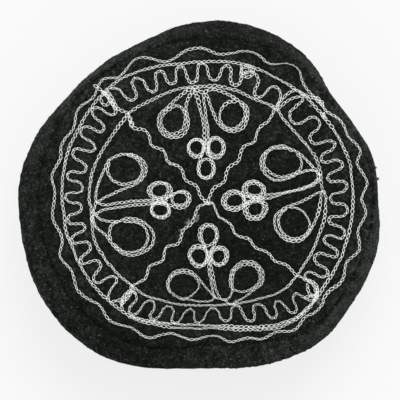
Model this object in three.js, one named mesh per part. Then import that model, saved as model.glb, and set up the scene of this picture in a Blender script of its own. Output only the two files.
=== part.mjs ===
// A soft round hat of thick wool felt, in millimetres, +Z up, standing on its rolled rim.
// The crown is one felt disc. The side is one felt tube: its top edge is sewn under the margin
// of the crown, its wall slopes in below the crown, and its lower part is rolled outwards and up.
// Sections are drawn in a half plane through the axis, as radius and height, at each bearing.
import * as THREE from "three";

const FELT = 2.4; // thickness of both cloths
const SEWN_GAP = 0.3; // clear space between the two cloths of the margin
const TURN_GAP = 0.8; // clear space between two turns of the roll
const MARGIN = 17.3; // cloth outside the seam, from the stitches to the cut edge
const SEAM_HEIGHT = 60; // underside of the crown at the seam
const CROWN_RISE = 3; // how far the crown stands above its seam
const CROWN_SAG = 2.2; // how far the middle of the crown has sunk
const GROOVE_DEPTH = 1.1; // how far the stitches pull the crown's upper face in
const GROOVE_WIDTH = 3; // from the stitches to where the felt is whole again
const KNEE_LIFT = 3.5; // the wall's bend to the head opening, above the top of the roll
const HEM_DROP = 12; // the hem inside the roll, below the top of the roll
const BELLY = 2.4; // how far the roll swells out halfway up
const STEPS_ROUND = 60; // bearings at which the sections are drawn
const FELT_ROUGHNESS = 0.96;
const CROWN_BLACK = 0x1b1b1a;
const SIDE_BLACK = 0x191918;

// The crown's edge: the seam's radius, the radius its margin reaches in plan, and how far the
// seam is lifted or sunk.
const RIM = [
  { bearing: 0, seam: 125.6, reach: 128.4, lift: -0.6 },
  { bearing: 12, seam: 124.3, reach: 127.1, lift: -1.0 },
  { bearing: 24, seam: 119.2, reach: 122.0, lift: -1.4 },
  { bearing: 36, seam: 116.4, reach: 119.2, lift: -1.4 },
  { bearing: 50, seam: 116.6, reach: 125.0, lift: -0.8 },
  { bearing: 66, seam: 116.6, reach: 126.9, lift: 0.0 },
  { bearing: 82, seam: 112.7, reach: 125.6, lift: 0.4 },
  { bearing: 96, seam: 111.4, reach: 121.5, lift: 0.2 },
  { bearing: 108, seam: 109.4, reach: 117.5, lift: -0.4 },
  { bearing: 124, seam: 110.0, reach: 116.5, lift: -0.9 },
  { bearing: 144, seam: 111.7, reach: 117.9, lift: -0.6 },
  { bearing: 160, seam: 113.0, reach: 123.6, lift: 0.0 },
  { bearing: 176, seam: 115.4, reach: 129.1, lift: 0.5 },
  { bearing: 192, seam: 115.6, reach: 130.5, lift: 0.7 },
  { bearing: 206, seam: 117.2, reach: 133.6, lift: 0.9 },
  { bearing: 220, seam: 118.8, reach: 135.9, lift: 1.2 },
  { bearing: 236, seam: 118.8, reach: 135.4, lift: 1.0 },
  { bearing: 250, seam: 116.6, reach: 131.8, lift: 0.6 },
  { bearing: 262, seam: 112.5, reach: 126.6, lift: 0.3 },
  { bearing: 274, seam: 109.1, reach: 124.9, lift: 0.4 },
  { bearing: 288, seam: 113.0, reach: 129.5, lift: 0.6 },
  { bearing: 300, seam: 120.2, reach: 133.9, lift: 0.4 },
  { bearing: 310, seam: 126.9, reach: 136.4, lift: 0.0 },
  { bearing: 326, seam: 126.0, reach: 134.6, lift: -0.2 },
  { bearing: 344, seam: 126.0, reach: 133.6, lift: -0.4 },
];

// The roll: the radius of the head opening, the roll's own outer radius, and its top.
const ROLL = [
  { bearing: 0, inner: 97.0, outer: 118.2, top: 44.0 },
  { bearing: 30, inner: 95.6, outer: 115.4, top: 43.0 },
  { bearing: 62, inner: 91.6, outer: 112.6, top: 44.8 },
  { bearing: 95, inner: 88.4, outer: 108.8, top: 43.0 },
  { bearing: 135, inner: 87.9, outer: 108.8, top: 44.6 },
  { bearing: 180, inner: 90.4, outer: 112.0, top: 45.6 },
  { bearing: 215, inner: 88.9, outer: 110.6, top: 43.4 },
  { bearing: 248, inner: 87.4, outer: 108.6, top: 44.8 },
  { bearing: 280, inner: 88.5, outer: 109.2, top: 43.2 },
  { bearing: 320, inner: 93.9, outer: 115.4, top: 44.8 },
];

// Slow waves over the crown: how many go round, where the first crest is, and their height.
const CROWN_WAVES = [
  { lobes: 2, crest: 35, height: 0.8 },
  { lobes: 3, crest: 80, height: 0.6 },
];

// Rings of the crown as shares of the seam's radius, and stations along the margin in
// millimetres from the seam, with the share of the margin's droop that is reached after each.
const CROWN_RINGS = [0.3, 0.58, 0.8, 0.91];
const MARGIN_STATIONS = [
  { along: 1.5, turned: 0.8 },
  { along: 5, turned: 1 },
  { along: 11, turned: 1 },
  { along: MARGIN, turned: 1 },
];

// Bends of the side cloth: radius of the centreline, and the steps in which it turns.
const BENDS = {
  seam: { round: 1.5, steps: 3 },
  knee: { round: 11, steps: 3 },
  foot: { round: 6.8, steps: 3 },
  heel: { round: 8.6, steps: 3 },
  belly: { round: 60, steps: 2 },
  shoulder: { round: 6.6, steps: 4 },
  core: { round: 4.2, steps: 2 },
};

const STEEPEST_DROOP = 110; // degrees, with the margin turned under
const DROOP_HALVINGS = 30; // how often the search for a droop halves its range
const LONGEST_MITRE = 1.5; // times the distance that a corner is moved

// Reads a table at any bearing, along a smooth curve that closes on itself.
function aroundTable(rows, columns) {
  const bearings = rows.map((row) => row.bearing).concat(360);
  const values = rows.concat(rows[0]).flatMap((row) => columns.map((name) => row[name]));
  const curve = new THREE.CubicInterpolant(bearings, values, columns.length);
  curve.settings = {
    endingStart: THREE.WrapAroundEnding,
    endingEnd: THREE.WrapAroundEnding,
  };
  return (bearing) => {
    const found = curve.evaluate(bearing);
    return Object.fromEntries(columns.map((name, i) => [name, found[i]]));
  };
}

const rimAt = aroundTable(RIM, ["seam", "reach", "lift"]);
const rollAt = aroundTable(ROLL, ["inner", "outer", "top"]);

// Moves a path sideways, to its left for a positive distance, with its corners mitred.
function beside(path, distanceAt) {
  return path.map((point, i) => {
    const before = path[Math.max(i - 1, 0)];
    const after = path[Math.min(i + 1, path.length - 1)];
    const behind = point.clone().sub(before).normalize();
    const ahead = after.clone().sub(point).normalize();
    const along = behind.clone().add(ahead).normalize();
    const mitre = Math.min(LONGEST_MITRE, 1 / along.dot(i ? behind : ahead));
    const left = new THREE.Vector2(-along.y, along.x);
    return point.clone().addScaledVector(left, mitre * distanceAt(i));
  });
}

// Rounds the corners of a path that have a bend.
function rounded(corners) {
  return corners.flatMap(({ at, bend }, i) => {
    if (!bend) return [at];
    const back = corners[i - 1].at.clone().sub(at).normalize();
    const ahead = corners[i + 1].at.clone().sub(at).normalize();
    const half = Math.acos(THREE.MathUtils.clamp(back.dot(ahead), -1, 1)) / 2;
    const centre = back.clone().add(ahead).normalize();
    centre.multiplyScalar(bend.round / Math.sin(half)).add(at);
    const turn = (Math.PI - 2 * half) * Math.sign(ahead.cross(back));
    const from = back.multiplyScalar(bend.round / Math.tan(half)).add(at).sub(centre);
    return Array.from({ length: bend.steps + 1 }, (_, k) =>
      from.clone().rotateAround(new THREE.Vector2(), (turn * k) / bend.steps).add(centre),
    );
  });
}

function crownUnderside(share, bearing, lift) {
  const pillow = CROWN_RISE * (1 - share ** 6) - CROWN_SAG * (1 - share ** 2) ** 2;
  const waves = CROWN_WAVES.map(({ lobes, crest, height }) => {
    const phase = THREE.MathUtils.degToRad(lobes * (bearing - crest));
    return height * share ** 2 * (1 - share ** 4) * Math.cos(phase);
  });
  return SEAM_HEIGHT + lift * share ** 2 + pillow + waves.reduce((sum, wave) => sum + wave);
}

// The crown's underside from the axis to its cut edge, with its margin at a droop in degrees.
function crownPath(bearing, droop) {
  const { seam, lift } = rimAt(bearing);
  const inside = [0, ...CROWN_RINGS, 1 - GROOVE_WIDTH / seam, 1];
  const path = inside.map(
    (share) => new THREE.Vector2(share * seam, crownUnderside(share, bearing, lift)),
  );
  MARGIN_STATIONS.forEach(({ along, turned }, i) => {
    const length = along - (i ? MARGIN_STATIONS[i - 1].along : 0);
    const fall = THREE.MathUtils.degToRad(-droop * turned);
    const step = new THREE.Vector2(Math.cos(fall), Math.sin(fall));
    path.push(path.at(-1).clone().addScaledVector(step, length));
  });
  return { path, stitches: inside.length - 1 };
}

function crownTop({ path, stitches }) {
  return beside(path, (i) => FELT - (i === stitches ? GROOVE_DEPTH : 0));
}

// Finds the droop at which the margin reaches as far out as the rim table says.
function sewnCrown(bearing) {
  const { reach } = rimAt(bearing);
  let flat = 0;
  let steep = STEEPEST_DROOP;
  for (let i = 0; i < DROOP_HALVINGS; i++) {
    const droop = (flat + steep) / 2;
    const furthest = Math.max(...crownTop(crownPath(bearing, droop)).map((p) => p.x));
    if (furthest > reach) flat = droop;
    else steep = droop;
  }
  return crownPath(bearing, (flat + steep) / 2);
}

function crownSection(bearing) {
  const sewn = sewnCrown(bearing);
  const top = crownTop(sewn);
  top[0].set(0, sewn.path[0].y + FELT);
  return [...sewn.path, ...top.reverse()];
}

// The middle of the side cloth, from its cut edge at the margin to the hem inside the roll.
function sidePath(bearing) {
  const { path, stitches } = sewnCrown(bearing);
  const { inner, outer, top } = rollAt(bearing);
  const below = -(SEWN_GAP + FELT / 2);
  const margin = beside(path.slice(stitches - 1), () => below).slice(1);
  const half = FELT / 2;
  const turn = FELT + TURN_GAP;
  const point = (r, z, bend) => ({ at: new THREE.Vector2(r, z), bend: BENDS[bend] });
  return rounded([
    ...margin.slice(2).reverse().map((at) => ({ at })),
    { at: margin[0], bend: BENDS.seam },
    point(inner + half, top + KNEE_LIFT, "knee"),
    point(inner + half, half, "foot"),
    point(outer - half, half, "heel"),
    point(outer - half + BELLY, top / 2, "belly"),
    point(outer - half, top - half, "shoulder"),
    point(inner + half + turn, top - half, "shoulder"),
    point(inner + half + turn, half + turn, "core"),
    point(outer - half - turn, half + turn, "core"),
    point(outer - half - turn, top - HEM_DROP),
  ]);
}

function sideSection(bearing) {
  const middle = sidePath(bearing);
  const left = beside(middle, () => FELT / 2);
  const right = beside(middle, () => -FELT / 2);
  return [...right, ...left.reverse(), right[0].clone()];
}

// Turns a section round the axis, drawing it anew at each bearing. The section's points are
// joined in triangles whose shared sides lean forwards or back, so that two cloths that lie on
// each other can be split alike where one is drawn outwards and the other inwards.
function turned(sectionAt, leanForward) {
  const geometry = new THREE.LatheGeometry(sectionAt(0), STEPS_ROUND);
  const places = geometry.getAttribute("position");
  const triangles = [];
  for (let i = 0; i <= STEPS_ROUND; i++) {
    const bearing = (360 / STEPS_ROUND) * (i % STEPS_ROUND);
    const angle = THREE.MathUtils.degToRad(bearing);
    const section = sectionAt(bearing);
    section.forEach(({ x, y }, j) => {
      const a = i * section.length + j;
      places.setXYZ(a, x * Math.cos(angle), x * Math.sin(angle), y);
      if (i === STEPS_ROUND || j === section.length - 1) return;
      const b = a + section.length;
      const halves = leanForward ? [a, b, b + 1, a, b + 1, a + 1] : [a, b, a + 1, b + 1, a + 1, b];
      triangles.push(...halves);
    });
  }
  geometry.setIndex(triangles);
  geometry.computeVertexNormals();
  return geometry;
}

function feltPiece(name, geometry, colour) {
  const felt = new THREE.MeshStandardMaterial({
    color: colour,
    roughness: FELT_ROUGHNESS,
    metalness: 0,
  });
  const piece = new THREE.Mesh(geometry, felt);
  piece.name = name;
  return piece;
}

const hat = new THREE.Group();
hat.add(feltPiece("crown", turned(crownSection, false), CROWN_BLACK));
hat.add(feltPiece("rolled_side", turned(sideSection, true), SIDE_BLACK));

export default hat;
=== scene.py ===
# A pakol: a soft round hat of thick black wool felt, its crown worked in white chain stitch.
# Sizes are in millimetres and bearings in degrees from +X towards +Y. Meshes are made in metres.
import itertools
import math

import bpy
import numpy as np
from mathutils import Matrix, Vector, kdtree


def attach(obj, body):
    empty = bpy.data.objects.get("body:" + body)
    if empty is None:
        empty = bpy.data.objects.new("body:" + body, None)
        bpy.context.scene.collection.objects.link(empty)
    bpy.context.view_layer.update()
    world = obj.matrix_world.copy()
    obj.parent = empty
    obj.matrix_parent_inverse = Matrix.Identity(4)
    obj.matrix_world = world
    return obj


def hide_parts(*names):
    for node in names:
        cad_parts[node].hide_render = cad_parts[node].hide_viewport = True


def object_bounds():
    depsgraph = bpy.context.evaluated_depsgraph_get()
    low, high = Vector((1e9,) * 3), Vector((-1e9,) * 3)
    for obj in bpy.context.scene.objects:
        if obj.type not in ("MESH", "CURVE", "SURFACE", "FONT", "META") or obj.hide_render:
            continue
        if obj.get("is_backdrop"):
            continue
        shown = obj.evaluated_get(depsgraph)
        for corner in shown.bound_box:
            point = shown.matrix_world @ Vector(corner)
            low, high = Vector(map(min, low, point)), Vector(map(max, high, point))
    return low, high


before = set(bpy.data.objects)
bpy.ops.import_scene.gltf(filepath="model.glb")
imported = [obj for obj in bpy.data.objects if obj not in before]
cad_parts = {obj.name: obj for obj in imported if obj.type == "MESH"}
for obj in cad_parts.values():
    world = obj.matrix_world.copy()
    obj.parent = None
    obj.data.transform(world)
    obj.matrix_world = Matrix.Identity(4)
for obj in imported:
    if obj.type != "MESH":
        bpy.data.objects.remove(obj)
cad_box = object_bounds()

MM = 0.001
chance = np.random.default_rng(41)

# The two cloths, with the sizes of the solids apart from the groove of the seam, and the painted shade
# along that groove.
FELT = 2.4
SEWN_GAP = 0.3
TURN_GAP = 0.8
MARGIN = 17.3
SEAM_HEIGHT = 60
CROWN_RISE = 3
CROWN_SAG = 2.2
CROWN_FLATNESS = 6
WAVE_FADE = 4
GROOVE_DEPTH = 0.9
GROOVE_HALF_WIDTH = 0.9
SEAM_SHADE = 0.5
PUCKER = 0.25
EDGE_WAVER = 0.22
EDGE_RAVEL = 0.27
KNEE_LIFT = 3.5
HEM_DROP = 12
BELLY = 2.4
MARGIN_TURN = 2.6
STEEPEST_DROOP = 110
LEAST_DROOP = 13
MOST_DROOP = 92
DROOP_HALVINGS = 30

# Bearing, seam radius, radius that the margin reaches in plan, lift of the seam.
# The reach is that of the seen edge, in places a little wider than in the solids.
RIM = [
    (0, 125.4, 129.5, -0.6),
    (12, 124.3, 128.7, -1.0),
    (24, 118.8, 123.2, -1.4),
    (36, 115.8, 119.9, -1.4),
    (50, 116.6, 126.2, -0.8),
    (66, 116.6, 128.0, 0.0),
    (82, 112.7, 126.6, 0.4),
    (96, 111.4, 122.8, 0.2),
    (108, 109.4, 118.2, -0.4),
    (124, 110.0, 117.3, -0.9),
    (144, 111.7, 118.6, -0.6),
    (160, 113.0, 124.9, 0.0),
    (176, 115.4, 129.8, 0.5),
    (192, 115.6, 131.0, 0.7),
    (206, 117.2, 134.1, 0.9),
    (220, 118.8, 136.4, 1.2),
    (236, 118.8, 136.3, 1.0),
    (250, 116.6, 132.4, 0.6),
    (262, 112.5, 127.4, 0.3),
    (274, 109.1, 126.0, 0.4),
    (288, 113.0, 130.8, 0.6),
    (300, 120.2, 135.5, 0.4),
    (310, 126.9, 138.5, 0.0),
    (326, 126.0, 136.4, -0.2),
    (344, 126.0, 135.3, -0.4),
]

# Bearing, radius of the head opening, outer radius of the roll, top of the roll.
ROLL = [
    (0, 97.0, 118.2, 44.0),
    (30, 95.6, 115.4, 43.0),
    (62, 91.6, 112.6, 44.8),
    (95, 88.4, 108.8, 43.0),
    (135, 87.9, 108.8, 44.6),
    (180, 90.4, 112.0, 45.6),
    (215, 88.9, 110.6, 43.4),
    (248, 87.4, 108.6, 44.8),
    (280, 88.5, 109.2, 43.2),
    (320, 93.9, 115.4, 44.8),
]

# Bearing, how pale the crown is along its rim, and the margin beyond it, from wear and painted light, how
# dark the painted shade along the seam is.
WEAR_AND_LIGHT = [
    (0, 1.4, 3.2, 1.4),
    (15, 0.95, 2.5, 0.4),
    (30, 1.7, 2.9, 1.1),
    (45, 1.1, 1.8, 0.55),
    (60, 0.3, 0.5, 0.5),
    (75, 0.2, 0.45, 0.3),
    (90, 0.45, 0.45, 0.8),
    (105, 0.5, 1.15, 1.0),
    (120, 0.85, 1.15, 1.1),
    (135, 1.15, 2.2, 1.1),
    (150, 0.95, 1.6, 1.1),
    (165, 0.7, 0.75, 1.1),
    (180, 0.35, 0.65, 1.0),
    (210, 0.2, 0.6, 1.0),
    (240, 0.1, 0.4, 1.0),
    (255, 0.05, 0.4, 1.0),
    (270, 0.2, 0.8, 0.8),
    (285, 0.35, 0.6, 0.8),
    (300, 0.65, 1.2, 0.9),
    (315, 0.6, 2.3, 1.0),
    (330, 1.2, 1.7, 1.0),
    (345, 1.9, 2.4, 1.3),
]

# Slow waves over the crown: how many go round, bearing of the first crest, height.
CROWN_WAVES = [(2, 35, 0.8), (3, 80, 0.6)]

# Radius of the side cloth's middle at each of its bends.
BENDS = {"seam": 1.5, "knee": 11, "foot": 6.8, "heel": 8.6, "belly": 60, "shoulder": 6.6, "core": 4.2}

# Bumps of the felt: how wide they are, how high on the crown and on the side, and the ravels of an edge.
DENT_SIZE = 17
NAP_SIZE = 3.4
RAVEL_SIZE = 3.6
DENT_HEIGHT = 0.28
NAP_HEIGHT = 0.1
SIDE_DENT_HEIGHT = 0.2
SIDE_NAP_HEIGHT = 0.09

# Rows of the ravels that the edge, the puckers and the painted shade of the seam are read from.
WAVER_ROW = 0
RAVEL_ROW = 50
PUCKER_ROW = 90
SHADE_ROW = 140

# How finely the cloths are drawn.
CROWN_STEPS = 600
CROWN_RINGS = 82
NEAR_SEAM = (0.25, 0.6, 1.0, 1.5, 2.2, 3.1)
RING_GAP = 1
STATION_GAP = 0.5
MARGIN_RINGS = 18
UNDER_RINGS = 16
SIDE_STEPS = 300
SIDE_RINGS = 150
EDGE_STEPS = 6
BEND_STEPS = 12

# How pale the felt is where nothing rubs it, over the crown (paler towards -X and +Y), at its rings, near
# its rim and at its edge, where it is partly wear and partly painted light.
EVEN_WEAR = 0.5
CROWN_WEAR = 0.3
CROWN_SLANT = 1.2
SLANT_FADE = 4
RING_WEAR = 0.25
RING_WEAR_START = 0.45
RING_WEAR_SPAN = 0.4
RIM_REACH = 13
SEAM_BLEND = 2
EDGE_WEAR = 0.5
EDGE_REACH = 4

# Stitches: a link of chain stitch, the thread, and how the felt gives under it, with painted shade on the
# felt round the stitches.
PITCH = 3.5
RING_PITCH = 3.6
SHORT_PITCH = 3.3
LINK_WIDTH = 1.7
LINK_OVERLAP = 1.27
LINK_POINT = 2
LINK_SLANT = 4
RING_SLANT = 7
LINK_STRAY = 0.17
LINK_UNEVEN = 0.12
LINK_OPEN = (0.65, 1.3)
LINK_TEAR = 0.15
LINK_RISE = 0.42
LINK_DIP = 0.3
SLANT_STRAY = 4
RISE_STRAY = 0.12
CURVE_STEPS = 12
THREAD = 0.4
TIGHT_THINNING = 0.5
TIGHT_SHARPNESS = 4
LINK_STEPS = 12
THREAD_SIDES = 5
THREAD_TWISTS = 7
PRESS_DEPTH = 0.35
PRESS_WIDTH = 1.9
PRESS_SHADE = 0.6
LAYER = 0.5
KNOT_LAYERS = (1, 1.25, 1.5)
DIAGONAL_WIDTHS = (0.98, 1.15, 0.92, 0.9)
LEAF = {"width": 0.9, "swell": 0.35}

# Loose hairs of the felt: how many, how long, thick, bent and shaded, and how many of them are pale.
CROWN_HAIRS = 6500
MARGIN_HAIRS = 5000
SIDE_HAIRS = 7000
HAIR_LENGTH = 2.4
HAIR_THICKNESS = 0.15
HAIR_STEPS = 4
HAIR_SIDES = 3
HAIR_FLOOR = 0.5
HAIR_EVENNESS = 4
HAIR_SPREAD = (0.6, 1.2)
HAIR_CURL = 0.2
HAIR_LIFT = (0.02, 0.22)
HAIR_SINK = 0.04
HAIR_TAPER = 0.5
DARK_SHADES = (1.2, 0.01)
PALE_SHADES = (1, 4)
CROWN_PALE = 0.4
EDGE_PALE = 0.5
PALE_LENGTH = 0.5
PALE_THICKNESS = 1.6
FLECK_RARITY = 12

# Loose fibres of the white thread, and the ends on the chart of the wisps where the thread is frayed.
FUZZ = 2600
FUZZ_LENGTH = 1.8
FUZZ_THICKNESS = 0.085
FUZZ_RISE = (0.05, 0.5)
FRAYED_FIBRES = 20
FRAYED_SPREAD = 0.5
FRAYED_THICKNESS = 0.04
FRAYED_WISPS = [
    (178.3, 230.3, 182, 229.6),
    (185.5, 224.3, 190, 221.5),
    (187, 222.3, 191.5, 220),
    (195.5, 217, 199, 213.7),
    (194, 222, 198.5, 216.7),
    (104, 92, 110, 90.5),
    (106, 95.5, 112, 94),
    (308.5, 106.5, 312, 105.5),
    (316, 297, 321, 299),
    (317, 300, 320, 304.5),
]

# Wisps of wool on the edge, with the places of their tips on the chart.
TUFT_HAIRS = 40
TUFT_TIPS = [(379.2, 178.5), (376.5, 167.4)]
TUFT_HEIGHT = 55
TUFT_LENGTH = 3.2
TUFT_SPREAD = 0.55
TUFT_SHADE = 0.02

# Share of the side cloth's length, from its hem, that shows on the outside of the hat.
SIDE_SHOWN = (0.33, 0.93)

# The side cloth: its rough radius and length, the share sewn flat, the share over which bumps come in.
SIDE_RADIUS = 100
SIDE_LENGTH = 225
SEWN_SHARE = 0.12
FREE_SHARE = 0.06

# The chart of the embroidery was drawn over the photograph, in its pixels, right and down.
CHART_MIDDLE = (198.25, 194)
CHART_PIXEL = 0.72

WAVE = [
    (103, 78.5), (110, 77.7), (117, 77.5), (121, 75), (125, 71), (131.5, 62), (136, 58.5), (141, 57),
    (146, 57), (156, 60.3), (163.5, 61.4), (171, 60), (181, 53.5), (186, 50.5), (191, 48.7),
    (197, 47.8), (204, 48.7), (212, 51.8), (220, 54.3), (231, 53), (241, 51), (248.5, 50.9),
    (256, 53.5), (264, 60), (267, 63), (271, 64.3), (280, 63.2), (288, 63.2), (294, 66), (299.5, 71),
    (301.5, 80), (305.5, 87.5), (312.5, 95), (320, 102), (326, 111), (334, 116), (341, 121), (345, 129),
    (348, 136.5), (354.5, 142.5), (359.5, 148.5), (360, 154), (356.5, 162), (361, 170.5), (366, 178),
    (367, 183), (363.5, 191.5), (361, 199), (363, 204), (366, 212), (365.5, 216), (360.5, 224),
    (357.5, 231.5), (359, 243), (359.3, 249), (355.5, 254.5), (347.5, 260), (345, 267), (343.5, 276),
    (340.5, 282.5), (333.5, 287.5), (327, 292.5), (323.6, 298), (322.7, 303), (319.4, 308),
    (313.7, 312.8), (306.5, 315.6), (302, 319.7), (298, 327.5), (291, 331.2), (280, 331.2), (273, 333),
    (265, 338), (259, 339.4), (249, 337.3), (238, 340), (230, 341.8), (224, 339.5), (216, 335.7),
    (206, 336.5), (193, 339.8), (183, 337.5), (173, 333.5), (165, 333.6), (154, 337), (146, 337.2),
    (140, 334), (133, 328.3), (123, 324.8), (113, 322.5), (106, 316), (102, 308.5), (96, 302.5),
    (84, 296.5), (76, 288), (74, 278), (70.5, 269), (63.5, 262), (59.3, 255), (61.5, 246), (62, 237),
    (58, 229), (53, 220), (52, 213), (54.5, 199), (54, 188), (51.5, 176), (56, 166), (60.5, 158),
    (61, 146), (65.5, 136.5), (72, 131), (74.5, 123), (76, 113), (81, 104.5), (88.5, 101), (94.5, 95),
    (97, 87), (100, 82),
]
OUTER_RING = [
    (107.5, 89), (114, 83), (122, 78), (132, 73.5), (144, 69.3), (156, 66.5), (168, 64.7), (180, 64),
    (191, 62.3), (204, 61.7), (217, 61.3), (229, 62), (241, 63.8), (251, 66.7), (262, 71), (274, 76.5),
    (285, 82.5), (293, 87.7), (301, 93.3), (310.5, 101.5), (319, 111), (326, 119.5), (332, 127.5),
    (337.5, 136), (342.5, 145), (347, 155), (350, 165), (351.2, 177), (353, 194), (352.5, 206),
    (351.5, 218), (348, 236), (344, 248), (340.5, 258), (335.5, 268), (326, 283), (320.5, 292),
    (315, 299.5), (308, 307), (296, 317), (286, 321.5), (275, 325), (262, 326.3), (248, 327),
    (220, 325.5), (193, 324.5), (169, 323), (145, 320), (132, 316.4), (122.5, 311.6), (111, 302.5),
    (99, 291.5), (88, 278), (79, 263), (72.5, 248), (66.5, 233), (64.5, 217), (62, 199), (62.5, 178),
    (66, 158), (71.5, 142), (78, 130), (81.5, 122), (88.8, 110.5), (97.3, 98.8), (102.5, 94.5),
]
SECOND_RING = [
    (312, 304.5), (305, 311.7), (297, 318.7), (286, 324.2), (276, 328.3), (262, 329.3), (241, 329.7),
    (227, 329), (213, 327.5), (199, 328.7), (186, 327.5), (172, 327.5), (158, 325), (144, 322),
    (129, 315.8),
]
TOP_MEANDER = [
    (110.5, 88), (117, 88.3), (121.5, 92), (125, 96.5), (131, 100.4), (136.3, 97.5), (135.5, 91),
    (131.5, 83), (133, 78.8), (138.5, 77.5), (143.5, 80.7), (146.5, 87.5), (152, 92), (157, 89.5),
    (156.5, 82.5), (154.3, 75), (159, 70.5), (164, 74), (167, 81.5), (172, 84.2), (176, 81.5),
    (175.7, 75), (175.8, 69.5), (180.5, 65.6), (185.5, 70), (187, 78), (191.5, 83.3), (197, 79.5),
    (197, 71), (197.3, 65.5), (202, 63), (207, 67), (208.5, 76), (213, 81), (218.6, 78), (221, 70),
    (225.5, 64.8), (231, 69), (229.7, 77), (230.5, 83), (236, 85.6), (240.8, 82), (240, 72),
    (242, 67.5),
]
CORNER_MEANDER = [
    (251, 71), (257, 75.5), (258.3, 83), (254, 89.5), (254.3, 95), (259, 97.6), (265, 93.5),
    (268.5, 88), (273.5, 86), (278.5, 88.8), (280.3, 94), (278.7, 101), (276.3, 106.5),
]
RIGHT_MEANDER = [
    (303.7, 97), (300.5, 102.7), (293, 108.3), (289.3, 114), (290, 119), (293.5, 123), (299, 124.2),
    (305, 120), (310.5, 116.5), (317, 118), (320, 123), (317.5, 129), (311, 134), (309.7, 140),
    (315, 144.3), (322, 142.3), (330, 140.5), (335.7, 143.5), (332, 149.6), (323, 153.5),
    (320.3, 158.5), (325, 162.5), (334, 159.5), (341, 161), (343, 166), (337, 170), (328.5, 174),
    (326.8, 179), (331.5, 182), (340.5, 180.5), (346.5, 183), (346.5, 188.5), (340, 192.5),
    (331.5, 194.3), (329.7, 199.5), (335, 203.7), (343, 203.5), (347.8, 209), (344.5, 215.8),
    (338.5, 216.5), (330.5, 216.2), (327.8, 221), (333, 225), (340, 226), (345, 232), (341.5, 238.2),
    (332, 235.5), (325.5, 235.3), (323, 241), (331, 247), (337.3, 250.5), (337, 256.8), (328, 255.5),
    (319.5, 252.5), (313.3, 256.5), (316.5, 263.5), (324.5, 267), (328.8, 272.5), (322, 277.5),
    (314.5, 273.5), (307.5, 271.3), (303.7, 276), (309.5, 282),
]
BOTTOM_MEANDER = [
    (313, 301), (306, 299), (300, 294.5), (295.5, 293), (291.7, 297.5), (295.5, 305), (296.5, 311.5),
    (291.5, 313), (286, 308), (280.5, 301), (275.8, 300.8), (274.3, 306), (277, 314), (273.5, 319),
    (268, 315.7), (264.5, 307.5), (257, 303.5), (252.2, 307), (254.5, 315), (253, 321.3),
    (246.5, 319.6), (243, 313.5), (239, 306), (233, 305.2), (230.7, 311), (230.8, 318.5), (225, 321),
    (219.5, 316.5), (217, 309), (211, 308.2), (206.5, 312), (203.5, 319.5), (198, 323), (193.3, 319.5),
    (194.4, 312), (189.5, 308.3), (184, 312.5), (180.5, 320.5), (174.5, 323), (170.5, 319), (174, 312),
    (170, 305.5), (163.5, 307.5), (159.5, 315), (153, 319.6), (149, 315.5), (154, 308), (154, 301.4),
    (147, 300.4), (141.5, 306.5), (137.5, 312.5), (132.5, 315.5), (128.8, 311), (130, 306.3),
    (135, 301), (136.7, 296.5), (132, 291),
]
LEFT_MEANDER = [
    (108.8, 299.5), (108.5, 292), (115, 283.7), (117.3, 279), (111, 275.5), (105, 278.5), (98, 283.2),
    (92.7, 280), (95, 274), (101, 266), (98, 260), (91.5, 261), (83, 263.6), (80, 259), (84.5, 254),
    (91, 248.5), (88, 242), (81, 242.5), (73, 243), (71.2, 238), (78, 232.5), (85.5, 229), (84, 224),
    (77, 223), (70.5, 224.6), (67.3, 219), (70.5, 213.6), (77, 213.5), (82.3, 207), (79.5, 203),
    (70, 202), (64.8, 197.5), (68, 192.3), (79.5, 192.5), (83, 187), (78, 181), (70, 180.5),
    (66.4, 176), (71, 171), (79, 172.8), (86, 170), (85.5, 164.3), (75, 158.5), (72, 153), (75.5, 148),
    (84.5, 150.5), (92, 151.5), (95.3, 146.5), (89.5, 140.5), (82, 136.5), (81, 129), (86, 126),
    (94.5, 130), (101, 132.5), (104.7, 128), (99.5, 121), (93, 116), (91.3, 109.5), (96, 106.8),
    (103, 110), (109, 114.7), (113.5, 115), (116.3, 109.5),
]
INNER_RING = [
    (128, 113), (138, 106.5), (150, 100.5), (162, 94.5), (174, 90), (186, 87.5), (197, 86.8), (206, 86),
    (216, 85.8), (227, 87.8), (239, 91.5), (251, 97.5), (262, 102), (276, 108), (283, 118.5),
    (291, 128), (301, 138.5), (309.5, 149), (316, 159), (319.5, 168.5), (320.7, 176), (321.3, 187),
    (325, 194.5), (325.5, 205), (323.5, 221), (318, 236), (312, 251), (303.5, 265.7), (297, 275),
    (288.5, 285), (280, 291.5), (265, 297), (247, 301.8), (229, 304), (211, 305.3), (191, 305),
    (173, 303), (156, 298.5), (145, 295), (131.5, 285), (117, 273), (103, 256), (94.5, 240),
    (91.5, 222), (91, 211), (89, 199), (90.5, 180), (94.5, 165), (102, 150.5), (110.5, 137.2),
    (116.8, 127.8), (123, 120.7),
]
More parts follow.
